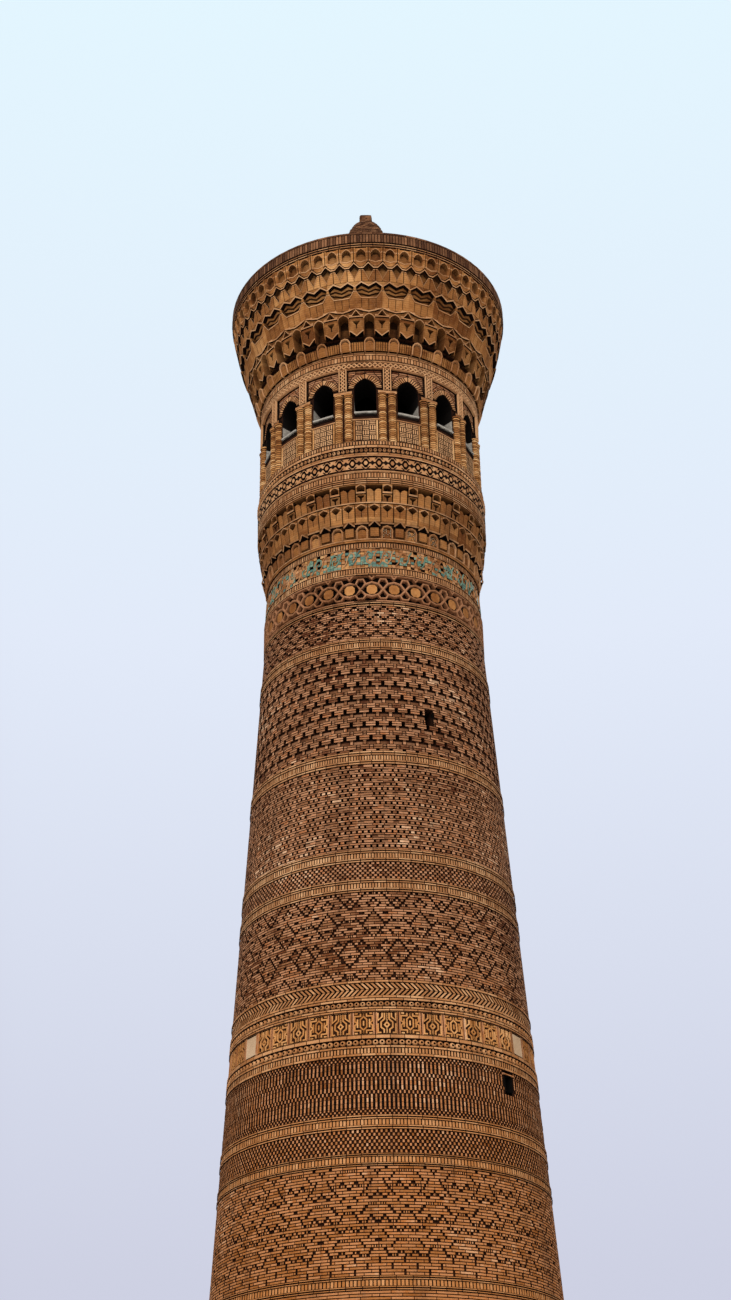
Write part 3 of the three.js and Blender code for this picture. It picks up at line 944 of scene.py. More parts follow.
def add_chequer(skin, low, high, rows, count, fill, hole=None):
    """Rows of headers with open joints between them, shifted by half a header in every other row."""
    levels = np.linspace(low, high, rows + 1)
    for row, (foot, top) in enumerate(zip(levels, levels[1:])):
        shift = (row % 2) * 180 / count
        add_soldiers(skin, foot, top, count, 0.0, fill, "brick", "mortar", hole, shift, 0.008)


def make_chequer_ring(node, foot, top, count, fill):
    """Two plain rings with a broken chequer of headers between them."""
    low, high = LEVELS[node]
    skin = Skin(shaft_radius)
    add_ring(skin, low, foot)
    add_chequer(skin, foot, top, 7, count, fill)
    add_ring(skin, top, high - SEAT)
    close_ring(skin, node, "courses", "pale_brick")


def make_soldier_band():
    """Three rows of tall soldiers between pairs of broken courses, pierced by the lower slit window."""
    skin = Skin(shaft_radius)
    slit = slit_frame(skin, SLIT_LOW)
    low, high = LEVELS["shaft_band_06"]
    high -= SEAT
    heights = np.array([3, 4, 3, 4, 3, 4, 3]) * (high - low) / 24
    levels = low + np.append(0.0, np.cumsum(heights))
    for part, (foot, top) in enumerate(zip(levels, levels[1:])):
        hole = slit if top > SLIT_LOW[2] and foot < SLIT_LOW[3] else None
        if part % 2 == 0:
            add_chequer(skin, foot, top, 3 if part in (0, 6) else 2, 246, 0.5, hole)
            continue
        for k in range(2):
            split = foot + (top - foot) * np.array([k, k + 1]) / 2
            add_soldiers(skin, *split, 246, fill=0.5, finish_name="brick", hole=hole)
    add_body(skin, low, high, hole=slit)
    make_piece("shaft_band_06_soldiers", skin, "brick", *parts_of("shaft_band_06", SLIT_LOW))


def make_bead_ring():
    """Soldiers and a row of hollowed beads between ledges."""
    skin = Skin(shaft_radius)
    add_ledge(skin, 15.5, 15.57)
    add_soldiers(skin, 15.57, 15.7, RING_SOLDIERS)
    add_ledge(skin, 15.7, 15.765)
    add_ground(skin, 15.765, 15.93, 0.05)
    add_beads(skin, spread(157, 0.0)[:, 0], 15.847, 0.15, 0.15, 0.03, "pale_brick", hole=0.5)
    add_ledge(skin, 15.93, 16.03 - SEAT)
    close_ring(skin, "bead_ring", "courses", "pale_brick")


def add_chevrons(skin, low, high, count):
    """Two rows of slanted bricks that point the same way round."""
    middle = (low + high) / 2
    shift = (high - low) / 2 / shaft_radius(low)
    left = spread(count, 0.0)[:, 0]
    right = left + 0.66 * (TAU / count)
    for foot, top, at_foot, at_top in ((low, middle, 0.0, shift), (middle, high, shift, 0.0)):
        corners = [
            (left + at_foot, foot), (right + at_foot, foot), (right + at_top, top), (left + at_top, top)
        ]
        add_tiles(skin, slanted(corners), 0.0, "pale_brick", groove=0.045, bevel=0.006)
    add_ground(skin, low, high, 0.04)


def make_chevron_ring():
    """Ledges and oval beads below a row of chevrons."""
    skin = Skin(shaft_radius)
    add_ledge(skin, 16.62, 16.74, 2)
    add_ground(skin, 16.74, 16.89, 0.05)
    add_beads(skin, spread(166, 0.0)[:, 0], 16.815, 0.14, 0.135, 0.03, "pale_brick")
    add_ledge(skin, 16.89, 17.03, 2)
    add_chevrons(skin, 17.03, 17.36, 200)
    add_ledge(skin, 17.36, 17.43 - SEAT)
    close_ring(skin, "chevron_ring", "courses", "pale_brick")


def make_panel_band():
    """Square panels with two mirrored strap ornaments by turns, a few of them lost and plastered over.

    The paths of an ornament are in (cell widths, shares of the panel's height).
    """
    skin = Skin(shaft_radius)
    panels, low, high = 44, 16.05, 16.6
    forked = (
        [(0, 0.04), (0, 0.3), (0.1, 0.42), (0, 0.54), (0, 0.96)],
        [(0.1, 0.96), (0.1, 0.68), (0.25, 0.54), (0.25, 0.3), (0.12, 0.2), (0.12, 0.04)],
        [(0.2, 0.96), (0.2, 0.78), (0.38, 0.62), (0.38, 0.96)],
        [(0.38, 0.48), (0.38, 0.06), (0.24, 0.06)],
    )
    knotted = (
        [(0, 0.96), (0, 0.82), (0.14, 0.68), (0.14, 0.34), (0, 0.2), (0, 0.04)],
        [(0.13, 0.96), (0.13, 0.84), (0.38, 0.84), (0.38, 0.6), (0.26, 0.51)]
        + [(0.38, 0.42), (0.38, 0.18), (0.13, 0.18), (0.13, 0.04)],
        [(0.26, 0.7), (0.26, 0.32)],
        [(0.25, 0.96), (0.38, 0.96)],
        [(0.25, 0.05), (0.38, 0.05)],
        [(0, 0.62), (0, 0.4)],
    )
    number = np.arange(panels)
    middle = (number + 0.5) * 360 / panels
    patched = sum(np.abs(middle - lost) < 5 for lost in (308, 64, 190)) > 0
    for turn, paths in enumerate((forked, knotted)):
        chosen = (number % 2 == turn) & ~patched
        for path in paths:
            placed = [(across, low + (high - low) * rise) for across, rise in path]
            tone = 0.2 + 0.6 * random.random(chosen.sum())
            for points in (placed, mirrored(placed)):
                ribbons = paths_over(panels, 180 / panels, points)[chosen]
                add_ribbons(skin, ribbons, 0.037, 0.0, 0.03, "terracotta", bevel=0.12, tone=tone)
    edges = paths_over(panels, 0.0, [(0, low), (0, high)])
    for offset in (-0.032, 0.032):
        beside = edges + np.array([offset / shaft_radius(low), 0.0])
        add_ribbons(skin, beside, 0.036, 0.0, 0.04, "brick", bevel=0.1)
    add_ground(skin, low, high, 0.03, "mortar", 176)
    left = number[patched] * TAU / panels
    add_tiles(skin, oblongs(left, left + 0.92 * TAU / panels, 16.06, 16.59), 0.005, "plaster", foot=0.04)
    add_ledge(skin, 16.03, low, proud=0.0)
    add_ledge(skin, high, 16.62 - SEAT, proud=0.0)
    close_ring(skin, "panel_band", "carving", "terracotta")


def plinth_radius(height):
    """Radius of the plinth's face."""
    return shaft_radius(height) + PLINTH_PROUD


def make_plinth():
    """Plain courses round the foot."""
    skin = Skin(plinth_radius)
    low, high = LEVELS["plinth"]
    rows, cells = 13, 480
    levels = np.linspace(low, high - SEAT, rows + 1)
    add_brickwork(skin, levels, np.zeros((rows, cells)), bond(rows, cells, 4), "pale_brick")
    close_ring(skin, "plinth", "courses", "pale_brick")


def make_shaft():
    """The bands of the shaft from the neck down, then its rings and the plinth."""
    make_marked_band("shaft_band_01", 49, 4, [(0, 0, 3, 3)], size=6, thick=0.3, depth=0.045, length=6)
    hooks = np.roll([1.45, 0.55, 1, 1, 1, 1], -3)
    make_band("shaft_band_02", hooked_pattern(45, 62), SLIT_HIGH, hooks)
    make_band("shaft_band_03", pierced_pattern(36, 25), heights=(0.8, 1.2))
    zigzags = [
        (0, 0, 5.3, 5.1), (2.2, -9.1, 12, -0.4), (6, 0.4, 7.4, 1.8), (6, 0.4, 4.6, 1.8), (9, 3, 7.5, 4.4),
        (9, 3, 10.5, 4.4), (8.9, -3.1, 7.4, -2), (4.2, -3.9, 2.3, -2), (0, -5.2, 1.5, -3.7),
        (12, -5.2, 10.5, -3.7),
    ]
    combs = [(0, 1.6, -1.5), (10.8, 12, 4), (8.2, 10.2, -4.5), (0, 2.4, -7.5)]
    make_marked_band("shaft_band_05", 20, 11.33, zigzags, combs, anchor=7.5, thick=0.68, length=12)
    frets = [
        (2, 0, 4.7, 3.6), (9, 1, 12, 3.9), (9, 1, 7.2, 3.4), (0, 4.4, 2.8, 6.9), (6, 4.4, 2.8, 6.9),
        (6, 4.4, 7.4, 6), (4.3, 9, 7, 11.8), (10, 6.2, 7.7, 8.4), (10.7, 8.6, 12, 9.9),
    ]
    combs = [(5, 7, 2.8), (0, 1.9, 0), (0.5, 4, 8.8), (4.5, 6, 3.4)]
    depth, starts = stroke_pattern(36, 20, 11.3, frets, combs, anchor=4.0, length=12)
    row, cell = rows_and_cells(*depth.shape)
    tees = (cell + 10 * (row // 2 % 2)) % 20 < 2
    make_band("shaft_band_08", (np.where(row < 6, tees * 0.05, depth), starts))
    for node, units, nets in (("09", 20, zigzags), ("10", 21, frets), ("11", 22, zigzags)):
        make_marked_band("shaft_band_" + node, units, 11.3, nets[:1], anchor=5.0, length=18)
    for node in ("01", "02", "07", "08", "09"):
        make_ring("shaft_ring_" + node)
    make_chequer_ring("header_band", 13.16, 13.72, 230, 0.55)
    make_chequer_ring("chequer_band", 20.15, 20.62, 180, 0.66)
    make_soldier_band()
    make_bead_ring()
    make_chevron_ring()
    make_panel_band()
    make_plinth()


make_shaft()


# Neck: strapwork, glazed frieze and lower cornice

CORNICE_CELLS = 28
CORNICE_PHASE = -2.9


def add_relief(skin, count, phase, across, curves, centre=0.0, finish_name="clay"):
    """Carved cells round the tower, each a ladder of curves mirrored about its own middle.

    The columns run from the middle out to the half width, in cell widths. Each curve gives a height, a
    depth and a painted shade value, one for all columns or one for each, and may name the finish of the
    strip above it. Two curves of the same height make a level wall between their depths, and two columns
    of nearly the same place an upright one.
    """
    side = np.arange(len(across))
    both = np.concatenate([side[:0:-1], side])
    signed = np.concatenate([-across[:0:-1], across])
    height, depth, soot = (
        np.stack([np.broadcast_to(np.asarray(curve[k], float), across.shape) for curve in curves])[:, both]
        for k in range(3)
    )
    azimuth = spread(count, phase, signed + centre)
    quads = sheet(skin.place(azimuth[:, None, :], height, depth))
    shade_share = cell_mean(soot)
    for strip, curve in enumerate(curves[:-1]):
        name = curve[3] if len(curve) > 3 else finish_name
        # pale strips take the upper half of the tones: paler bricks, lightened further as a painted highlight
        # on the ledges
        tone = random.random(count) * 0.5 + 0.5 * (name == "pale_brick")
        skin.add(quads[:, strip], name, tone, soot=np.tile(shade_share[strip], count))


def columns_with(plain, *edges):
    """Columns of a relief: plain ones, and at each edge two so close that depths change between them."""
    return np.sort(np.concatenate([plain, edges, np.array(edges) + 0.004]))


def within(across, half, deep, face=0.0):
    """One value out to a half width and another beyond it."""
    return np.where(across < half + 0.002, deep, face)


def rising(across, *points):
    """Height that runs straight between (across, height) points."""
    return np.interp(across, *zip(*points))


def ledge_on(line, light=0.045, dark=0.045, proud=-0.04, sunk=0.05, after=0.0):
    """Curves of a pale ledge along a line between a dark slot under it and a dark groove over it, both in
    painted shade.
    """
    return [
        (line - 0.022, after, 1, "shade"),
        (line, 0.03, 1, "shade"),
        (line, proud, 0, "pale_brick"),
        (line + light, proud, 0, "shade"),
        (line + light, sunk, 1, "shade"),
        (line + light + dark, sunk, 1, "shade"),
        (line + light + dark, after, 0),
    ]


def shelf(foot, line, top, sunk):
    """Curves of a pale ledge over a dark slot in painted shade, in a face at no depth."""
    return [
        (foot, 0.0, 0, "shade"),
        (foot, sunk, 1, "shade"),
        (line, sunk, 1, "shade"),
        (line, -0.03, 0, "pale_brick"),
        (top, -0.03, 0),
    ]


def arch_curve(across, spring, apex, half):
    """Heights of a low pointed arch over its columns."""
    share = np.clip(np.abs(np.asarray(across)) / half, 0, 1)
    return spring + (apex - spring) * (0.5 * (1 - share**3.2) ** 0.6 + 0.5 * (1 - share))


def add_frame(skin, count, phase, top, *side, width=0.034, depth=-0.035, foot=0.05):
    """Raised frame round an arched panel, from the points of one side and the height of its top."""
    frame = [*side, (0, top), *mirrored(side)]
    add_ribbons(skin, paths_over(count, phase, frame), width, depth, foot, "pale_brick")


def make_strapwork():
    """Straps crossed between rails, in long hexagons round plain blocks."""
    count, phase, foot = 32, 1.6, 0.13
    skin = Skin(profile_radius((28.45, 3.195), (29.51, 3.195)))
    for low, high in ((28.45, 28.5), (28.53, 28.57), (29.46, 29.51 - SEAT)):
        add_ledge(skin, low, high, proud=0.0, bricks=60)
    add_ground(skin, 28.5, 29.47, foot, sides=160)
    straps = partial(add_ribbons, skin, depth=0.0, foot=foot, finish_name="brick", tone=0.3)
    for level, width in ((28.61, 0.05), (29.43, 0.035)):
        straps(waves_round(96, 0, [(0, level)]), width, closed=True)
    for low, middle, high in ((28.99, 29.16, 29.22), (28.99, 28.83, 28.77)):
        path = [(-0.5, low), (-0.3, middle), (0.0, high), (0.3, middle)]
        straps(waves_round(count, phase, path), 0.058, closed=True)
    for path in (
        [(0.28, 29.17), (0.38, 29.32), (0.62, 29.32), (0.72, 29.17)],
        [(0.26, 28.82), (0.38, 28.7), (0.62, 28.7), (0.74, 28.82)],
        [(-0.12, 29.42), (0.0, 29.33), (0.12, 29.42)],
    ):
        straps(paths_over(count, phase, path), 0.045)
    blocks = spread(count, phase, [-0.23, -0.12, 0.12, 0.23])
    top, under = np.array([29.06, 29.14, 29.14, 29.06]), np.array([28.93, 28.85, 28.85, 28.93])
    tone = 0.4 * random.random(count)
    add_cells(skin, blocks, under, top, [0.03, 0.03], "terracotta", rim=foot, tone=tone, sides="shade")
    close_ring(skin, "strapwork_band", "carving", "terracotta", inset=0.12)


def make_glazed_frieze():
    """Turquoise leaves and strokes on carved clay between two rows of soldiers; part of the glaze is lost."""
    skin = Skin(profile_radius((29.51, 3.165), (30.59, 3.115)))
    ledge = partial(add_ledge, skin, bricks=60)
    ledge(29.51, 29.54, proud=0.0)
    add_soldiers(skin, 29.54, 29.7, 260, 0.01, 0.78)
    ledge(29.7, 29.74, proud=0.01)
    low, high, rows, cells = 29.74, 30.37, 7, 180
    up, cell = rows_and_cells(rows, cells)
    azimuth = (cell + 0.5) * TAU / cells
    wave = 3 + 2.1 * np.sin(azimuth * 12 + 0.7 * np.sin(azimuth * 5))
    other = 3 - 2.3 * np.sin(azimuth * 18 + 1.1)
    leaf = np.abs(up - 1 - 3 * ((cell // 9) % 2)) + np.abs(cell % 9 - 4) < 1.2
    stroke = (np.abs(up - wave) < 0.9) | (np.abs(up - other) < 0.7) | leaf | ((up == 0) & (cell % 14 < 5))
    worn = np.sin(azimuth * 5 + 1.0) + np.sin(azimuth * 11 + up * 0.6) + random.normal(0, 1.3, stroke.shape)
    kept = stroke & (worn > -0.9)
    carved = random.random(stroke.shape)
    depth = np.where(kept, 0.0, np.where(carved > 0.3, 0.015, 0.035))
    levels = np.linspace(low, high, rows + 1)
    pale = ~kept & (carved > 0.55)
    clay = ~kept & (carved <= 0.55) & (carved > 0.08)
    for chosen, finish_name in ((kept, "glaze"), (pale, "pale_brick"), (clay, "clay")):
        row, column = np.nonzero(chosen)
        left = column * TAU / cells
        outline = oblongs(left, left + TAU / cells, levels[row], levels[row + 1])
        add_tiles(skin, outline, depth[row, column], finish_name, bevel=0.004, groove=0.06, sides="shade")
    count = 40
    scroll = [
        (-0.42, 29.8), (-0.26, 29.92), (-0.18, 30.12), (0.0, 30.26), (0.18, 30.2), (0.2, 30.06), (0.06, 30.02)
    ]
    turned = [(0.1 - across, low + high - height) for across, height in scroll]
    for points, share in ((scroll, 0.55), (turned, 0.4)):
        glazed = random.random(count) < share
        for chosen, finish_name in ((glazed, "glaze"), (~glazed, "pale_brick")):
            add_ribbons(skin, paths_over(count, 0.0, points)[chosen], 0.036, -0.012, 0.02, finish_name)
    add_ground(skin, low, high, 0.07, sides=108)
    ledge(30.37, 30.41, proud=0.0)
    add_soldiers(skin, 30.41, 30.56, 260, 0.01, 0.78)
    ledge(30.56, 30.59 - SEAT, proud=-0.01)
    close_ring(skin, "glazed_frieze", "tiles", "glazed_tile")


def make_arched_tier():
    """Framed arched panels between small gabled blocks, under a ledge; three hold a mottled filling."""
    cells = (CORNICE_CELLS, CORNICE_PHASE)
    skin = Skin(profile_radius((30.59, 3.13), (31.07, 3.17), (31.17, 3.26)))
    base = [
        (30.59, 0.0, 0), (30.65, 0.0, 0), (30.65, -0.02, 0, "pale_brick"), (30.68, -0.02, 0, "shade"),
        (30.68, 0.03, 1, "shade"), (30.7, 0.03, 1),
    ]
    x = columns_with([0, 0.07, 0.13, 0.27], 0.175, 0.19)
    panel = partial(within, x, 0.175)
    crown = arch_curve(x, 30.99, 31.06, 0.175)
    outside = x > 0.192
    face, dim = np.where(outside, 0.03, 0.02), 0.25 * outside
    add_relief(skin, *cells, x, base + [
        (30.7, face, dim),
        (crown - 0.07, face, dim),
        (crown - 0.06, panel(0.1, face), panel(0.9, dim)),
        (crown, panel(0.12, face), panel(1.0, dim)),
        (crown, face, outside),
        (31.1, 0.03, 1, "shade"),
        *ledge_on(31.115, 0.03, 0.02, -0.03, 0.02)[1:6],
        (31.17 - SEAT, 0.02, 1),
    ])
    add_frame(skin, *cells, 31.075, (-0.2, 30.68), (-0.2, 30.97), (-0.12, 31.05))
    b = columns_with([0, 0.06, 0.12, 0.226], 0.165, 0.195)
    gable = rising(b, (0, 31.16), (0.195, 31.06))
    block, edge = within(b, 0.165, -0.02, 0.04), within(b, 0.165, 0.0, 0.9)
    add_relief(skin, *cells, b, base + [
        (30.76, 0.04, 0.3),
        (30.76, block, edge),
        (31.02, block, edge),
        (31.03, 0.08, 1, "shade"),
        (gable, 0.08, 1, "shade"),
        (gable, -0.04, 0, "pale_brick"),
        (gable + 0.035, -0.04, 0),
        (np.maximum(gable + 0.04, 31.17 - SEAT), -0.02, 0.8),
    ], centre=0.5)
    filled, wide, tall = spread(*cells)[1:4, 0], 0.055 * TAU / CORNICE_CELLS, 0.05
    column, row = (v.ravel() for v in np.meshgrid(np.arange(-3, 3), np.arange(5)))
    left = (filled[:, None] + column * 0.055 * TAU / CORNICE_CELLS).ravel()
    foot = np.tile(30.74 + row * tall, len(filled))
    pale = random.random(len(left)) > 0.45
    outline = oblongs(left, left + wide, foot, foot + tall)[pale]
    add_tiles(skin, outline, 0.0, "plaster", groove=0.03, sides="shade")
    close_ring(skin, "lower_cornice_arched_tier", "carving", "terracotta")


def make_pointed_tier():
    """Tall panels that run up under dark pointed hoods, two to each cell of the tier below."""
    skin = Skin(profile_radius((31.17, 3.22), (31.76, 3.31)))
    x = columns_with([0, 0.17, 0.5], 0.022, 0.33, 0.455)
    hood = partial(within, x, 0.33)
    floor, crown = rising(x, (0, 31.5), (0.33, 31.62)), rising(x, (0, 31.71), (0.33, 31.645))
    groove = 1.0 - within(x, 0.455, 1.0)
    joint = groove + within(x, 0.022, 1.0)
    face = 0.05 * groove
    add_relief(skin, 2 * CORNICE_CELLS, CORNICE_PHASE, x, [
        (31.17, face, groove),
        (31.34, face, groove),
        (31.35, 0.05 * joint, joint),
        (floor, 0.05 * joint, joint),
        (floor, hood(0.08, face), hood(0.9, groove)),
        (crown, hood(0.2, face), hood(1.0, groove)),
        (crown, hood(-0.03, face), groove, "pale_brick"),
        (crown + 0.03, hood(-0.03, face), groove),
        (31.745, 0.0, 0.2),
        (31.76 - SEAT, 0.0, 1),
    ])
    close_ring(skin, "lower_cornice_pointed_tier", "carving", "brick")


def make_keyed_tier():
    """Blocks with funnel pockets under small arched niches, between pairs of tall hooded panels."""
    cells = (CORNICE_CELLS, CORNICE_PHASE)
    skin = Skin(profile_radius((31.76, 3.31), (32.37, 3.41)))
    base = [(31.76, -0.03, 0, "pale_brick"), (31.795, -0.03, 0), (31.795, 0.0, 0.6)]
    x = columns_with([0, 0.05, 0.1, 0.181], 0.03, 0.135, 0.15)
    pocket, recess = partial(within, x, 0.135), partial(within, x, 0.15)
    funnel = np.where(x < 0.032, 31.82, rising(x, (0.034, 31.92), (0.135, 31.99)))
    niche = arch_curve(x, 32.25, 32.33, 0.15)
    add_relief(skin, *cells, x, base + [
        (funnel, 0.0, 0, "shade"),
        (funnel, pocket(0.05), pocket(0.9)),
        (32.02, pocket(0.14), pocket(1.0)),
        (32.02, 0.0, 0),
        *shelf(32.045, 32.065, 32.115, 0.02),
        (32.12, recess(0.12, -0.02), recess(1.0)),
        (niche, recess(0.2, -0.02), recess(1.0)),
        (niche, -0.02, 0, "pale_brick"),
        (np.maximum(niche + 0.02, 32.3), -0.02, 0),
        (32.37 - SEAT, 0.0, 0.3),
    ])
    b = columns_with([0, 0.08, 0.16, 0.319], 0.014, 0.27)
    hood = rising(b, (0, 32.11), (0.05, 32.18), (0.14, 32.23), (0.27, 32.2))
    joint, gap = within(b, 0.014, 1.0), 1.0 - within(b, 0.27, 1.0)
    panel = 0.01 + 0.04 * joint + 0.14 * gap
    add_relief(skin, *cells, b, base + [
        (31.8, panel, joint + gap),
        (hood, panel, joint + gap),
        (hood + 0.005, 0.12, 1),
        (32.345, 0.22, 1),
        (32.345, 0.0, 0.3),
        (32.37 - SEAT, 0.0, 0.3),
    ], centre=0.5)
    close_ring(skin, "lower_cornice_keyed_tier", "carving", "brick")


def make_rosette_frieze():
    """Six-sided rosettes sunk round their bosses, between ledges, soldiers and a row of beads."""
    count, phase, heart = 56, -0.2, 33.08
    skin = Skin(profile_radius((32.37, 3.427), (33.62, 3.427), (33.68, 3.44), (33.72, 3.41), (33.89, 3.41)))
    ledge = partial(add_ledge, skin, proud=0.0, bricks=64)
    for level in (32.37, 32.44, 32.51):
        ledge(level, level + 0.058)
    add_soldiers(skin, 32.575, 32.735, 250, fill=0.8)
    ledge(32.745, 32.79)
    x = columns_with([0, 0.1, 0.5], 0.2, 0.28)
    half = rising(x, (0, 0.16), (0.1, 0.16), (0.28, 0.03))
    slot, hole = 1.0 - within(x, 0.2, 1.0), within(x, 0.28, 1.0)
    curves = [(32.79, 0.0, 0)]
    strips = (
        (32.82, 32.89, slot, "mortar"),
        (heart - half, heart + half, hole, "shade"),
        (33.26, 33.33, slot, "mortar"),
    )
    for low, high, mask, under in strips:
        curves += [
            (low, 0.0, 0, "shade"), (low, 0.045 * mask, mask, under),
            (high, 0.045 * mask, mask, "shade"), (high, 0.0, 0),
        ]
    add_relief(skin, count, phase, x, curves + [(33.37, 0.0, 0)], finish_name="pale_brick")
    centre = spread(count, phase, [-0.17, -0.08, 0.08, 0.17])
    rise = np.array([0.015, 0.08, 0.08, 0.015])
    boss = between(centre, heart - rise, heart + rise)
    add_tiles(skin, boss, -0.005, "pale_brick", groove=0.045, sides="shade")
    wedges = ((0.5, 32.92, 0.07), (0.5, 33.24, -0.07), (0.0, 32.83, 0.05), (0.0, 33.33, -0.05))
    for centre, level, tall in wedges:
        wedge = spread(count, phase + centre * 360 / count, [-0.13, 0.0, 0.13])
        tips = level + np.array([0.0, tall, 0.0])
        add_cells(skin, wedge, np.minimum(tips, level), np.maximum(tips, level), [-0.003, -0.003], "shade")
    crossed = [[(0.36, heart), (0.5, tip), (0.64, heart)] for tip in (33.14, 33.02)]
    for low, high in ((33.28, 33.2), (32.88, 32.96)):
        path = [(0.1, low), (0.3, high)]
        crossed += [path, mirrored(path)]
    for path in crossed:
        add_ribbons(skin, paths_over(count, phase, path), 0.042, -0.003, 0.0, "shade", bevel=0.1)
    ledge(33.37, 33.45)
    add_ground(skin, 33.45, 33.62, 0.05, sides=112)
    add_beads(skin, spread(160, 0.0)[:, 0], 33.535, 0.11, 0.13, 0.02, "pale_brick", sides=6)
    ledge(33.62, 33.73)
    add_soldiers(skin, 33.74, 33.86, 250)
    ledge(33.86, 33.89 - SEAT)
    close_ring(skin, "rosette_frieze", "carving", "terracotta")


make_strapwork()
make_glazed_frieze()
make_arched_tier()
make_pointed_tier()
make_keyed_tier()
make_rosette_frieze()


# Upper cornice

UPPER_CELLS = 30
UPPER_PHASE = 2.7
VAULT_RADIUS = 2.6


def make_braided_frieze():
    """Two crossing zigzag straps under ledges and soldiers."""
    skin = Skin(profile_radius((36.54, 3.365), (37.15, 3.385)))
    add_ground(skin, 36.54, 36.79, 0.06)
    straps = partial(add_ribbons, skin, foot=0.06, finish_name="pale_brick", closed=True, bevel=0.1)
    for phase in (0.0, 180 / 68):
        straps(waves_round(68, phase, [(-0.5, 36.595), (0.0, 36.735)]), 0.036, 0.0, tone=1.0)
    for level in (36.552, 36.778):
        straps(waves_round(80, 0, [(0, level)]), 0.022, -0.01)
    ledge = partial(add_ledge, skin, bricks=64)
    ledge(36.8, 36.83, proud=0.0)
    add_soldiers(skin, 36.84, 37.0, 220, fill=0.86)
    ledge(37.01, 37.07, proud=0.0)
    ledge(37.08, 37.15 - SEAT, proud=-0.02)
    close_ring(skin, "braided_frieze", "carving", "terracotta", well=VAULT_RADIUS)


def make_upper_arched_tier():
    """Framed arched panels with three upright panels between them."""
    cells = (UPPER_CELLS, UPPER_PHASE)
    skin = Skin(profile_radius((37.15, 3.42), (37.6, 3.57)))
    joints = ((0.24, 0.27), (0.335, 0.36), (0.445, 0.47))
    x = columns_with([0, 0.08, 0.12, 0.5], 0.165, *np.ravel(joints))
    panel = partial(within, x, 0.165)
    crown = arch_curve(x, 37.42, 37.5, 0.165)
    joint = sum(within(x, far, 1.0) - within(x, near, 1.0) for near, far in joints)
    face = 0.05 * joint
    outside = x > 0.166
    top = np.where(outside, 37.41, crown)
    add_relief(skin, *cells, x, [
        (37.15, face, joint),
        (np.where(outside, 37.37, crown - 0.05), face, joint),
        (np.where(outside, 37.38, crown - 0.045), panel(0.07, face), panel(1.0, joint)),
        (top, panel(0.1, face), panel(1.0, joint)),
        (top, 0.12, 1, "shade"),
        (37.53, 0.14, 1, "shade"),
        (37.6 - SEAT, 0.18, 1),
    ])
    side = ((-0.19, 37.16), (-0.19, 37.42), (-0.12, 37.5))
    add_frame(skin, *cells, 37.53, *side, width=0.036, depth=-0.03, foot=0.12)
    close_ring(skin, "upper_cornice_arched_tier", "carving", "terracotta", well=VAULT_RADIUS)


def make_deep_tier():
    """Deep arched niches between bracketed blocks, each with a funnel pocket under a small gable."""
    cells = (UPPER_CELLS, UPPER_PHASE)
    skin = Skin(profile_radius((37.5, 3.53), (38.4, 3.77), (38.49, 3.8)))
    x = columns_with([0, 0.09, 0.16], 0.193, 0.222)
    recess = partial(within, x, 0.193)
    niche = arch_curve(x, 38.15, 38.27, 0.193)
    wave = rising(x, (0, 38.345), (0.22, 38.38)) - 0.02
    add_relief(skin, *cells, x, [
        (37.57, 0.18, 1),
        (37.62, recess(0.18, -0.03), 1),
        (37.64, recess(0.24, -0.03), recess(rising(x, (0.06, 0.5), (0.19, 1.0)))),
        (37.98, recess(0.26, -0.03), recess(rising(x, (0.06, 0.7), (0.19, 1.0)))),
        (38.04, recess(0.3, -0.03), recess(1.0)),
        (niche, recess(0.3, -0.03), recess(1.0)),
        (niche, -0.03, 0, "pale_brick"),
        (niche + 0.03, -0.03, 0, "clay"),
        (niche + 0.03, 0.0, 0.6),
        (wave, 0.0, 0.0),
        *ledge_on(wave, 0.04),
        (38.49 - SEAT, 0.0, 0),
    ])
    b = columns_with([0, 0.08, 0.278], 0.02, 0.133, 0.147, 0.24)
    pocket, niche = partial(within, b, 0.133), partial(within, b, 0.147)
    vee = rising(b, (0, 37.585), (0.24, 37.735), (0.28, 37.74))
    funnel = np.where(b < 0.023, 37.84, rising(b, (0.024, 37.95), (0.133, 38.06)))
    funnel = np.maximum(funnel, vee + 0.045)
    gable = rising(b, (0, 38.4), (0.147, 38.25))
    peak = rising(b, (0, 38.46), (0.06, 38.445), (0.278, 38.38))
    add_relief(skin, *cells, b, [
        (37.57, 0.18, 1),
        (vee, 0.18, 1, "shade"),
        (vee, -0.03, 0, "pale_brick"),
        (vee + 0.04, -0.03, 0),
        (vee + 0.04, 0.0, 0.4),
        (funnel, 0.0, 0.0, "shade"),
        (funnel, pocket(0.05), pocket(0.9)),
        (38.09, pocket(0.16), pocket(1.0)),
        (38.09, 0.0, 0.0),
        *shelf(38.165, 38.185, 38.215, 0.03),
        (38.22, 0.0, 0.3),
        (38.25, niche(0.1), niche(1.0)),
        (gable, niche(0.14), niche(1.0)),
        (gable, niche(-0.02), 0, "pale_brick"),
        (gable + 0.03, niche(-0.02), 0),
        *ledge_on(np.maximum(peak - 0.02, gable + 0.031), 0.035, 0.025)[:3],
        (38.49 - SEAT, 0.0, 0),
    ], centre=0.5)
    close_ring(skin, "upper_cornice_deep_tier", "carving", "brick", well=VAULT_RADIUS, inset=0.26)


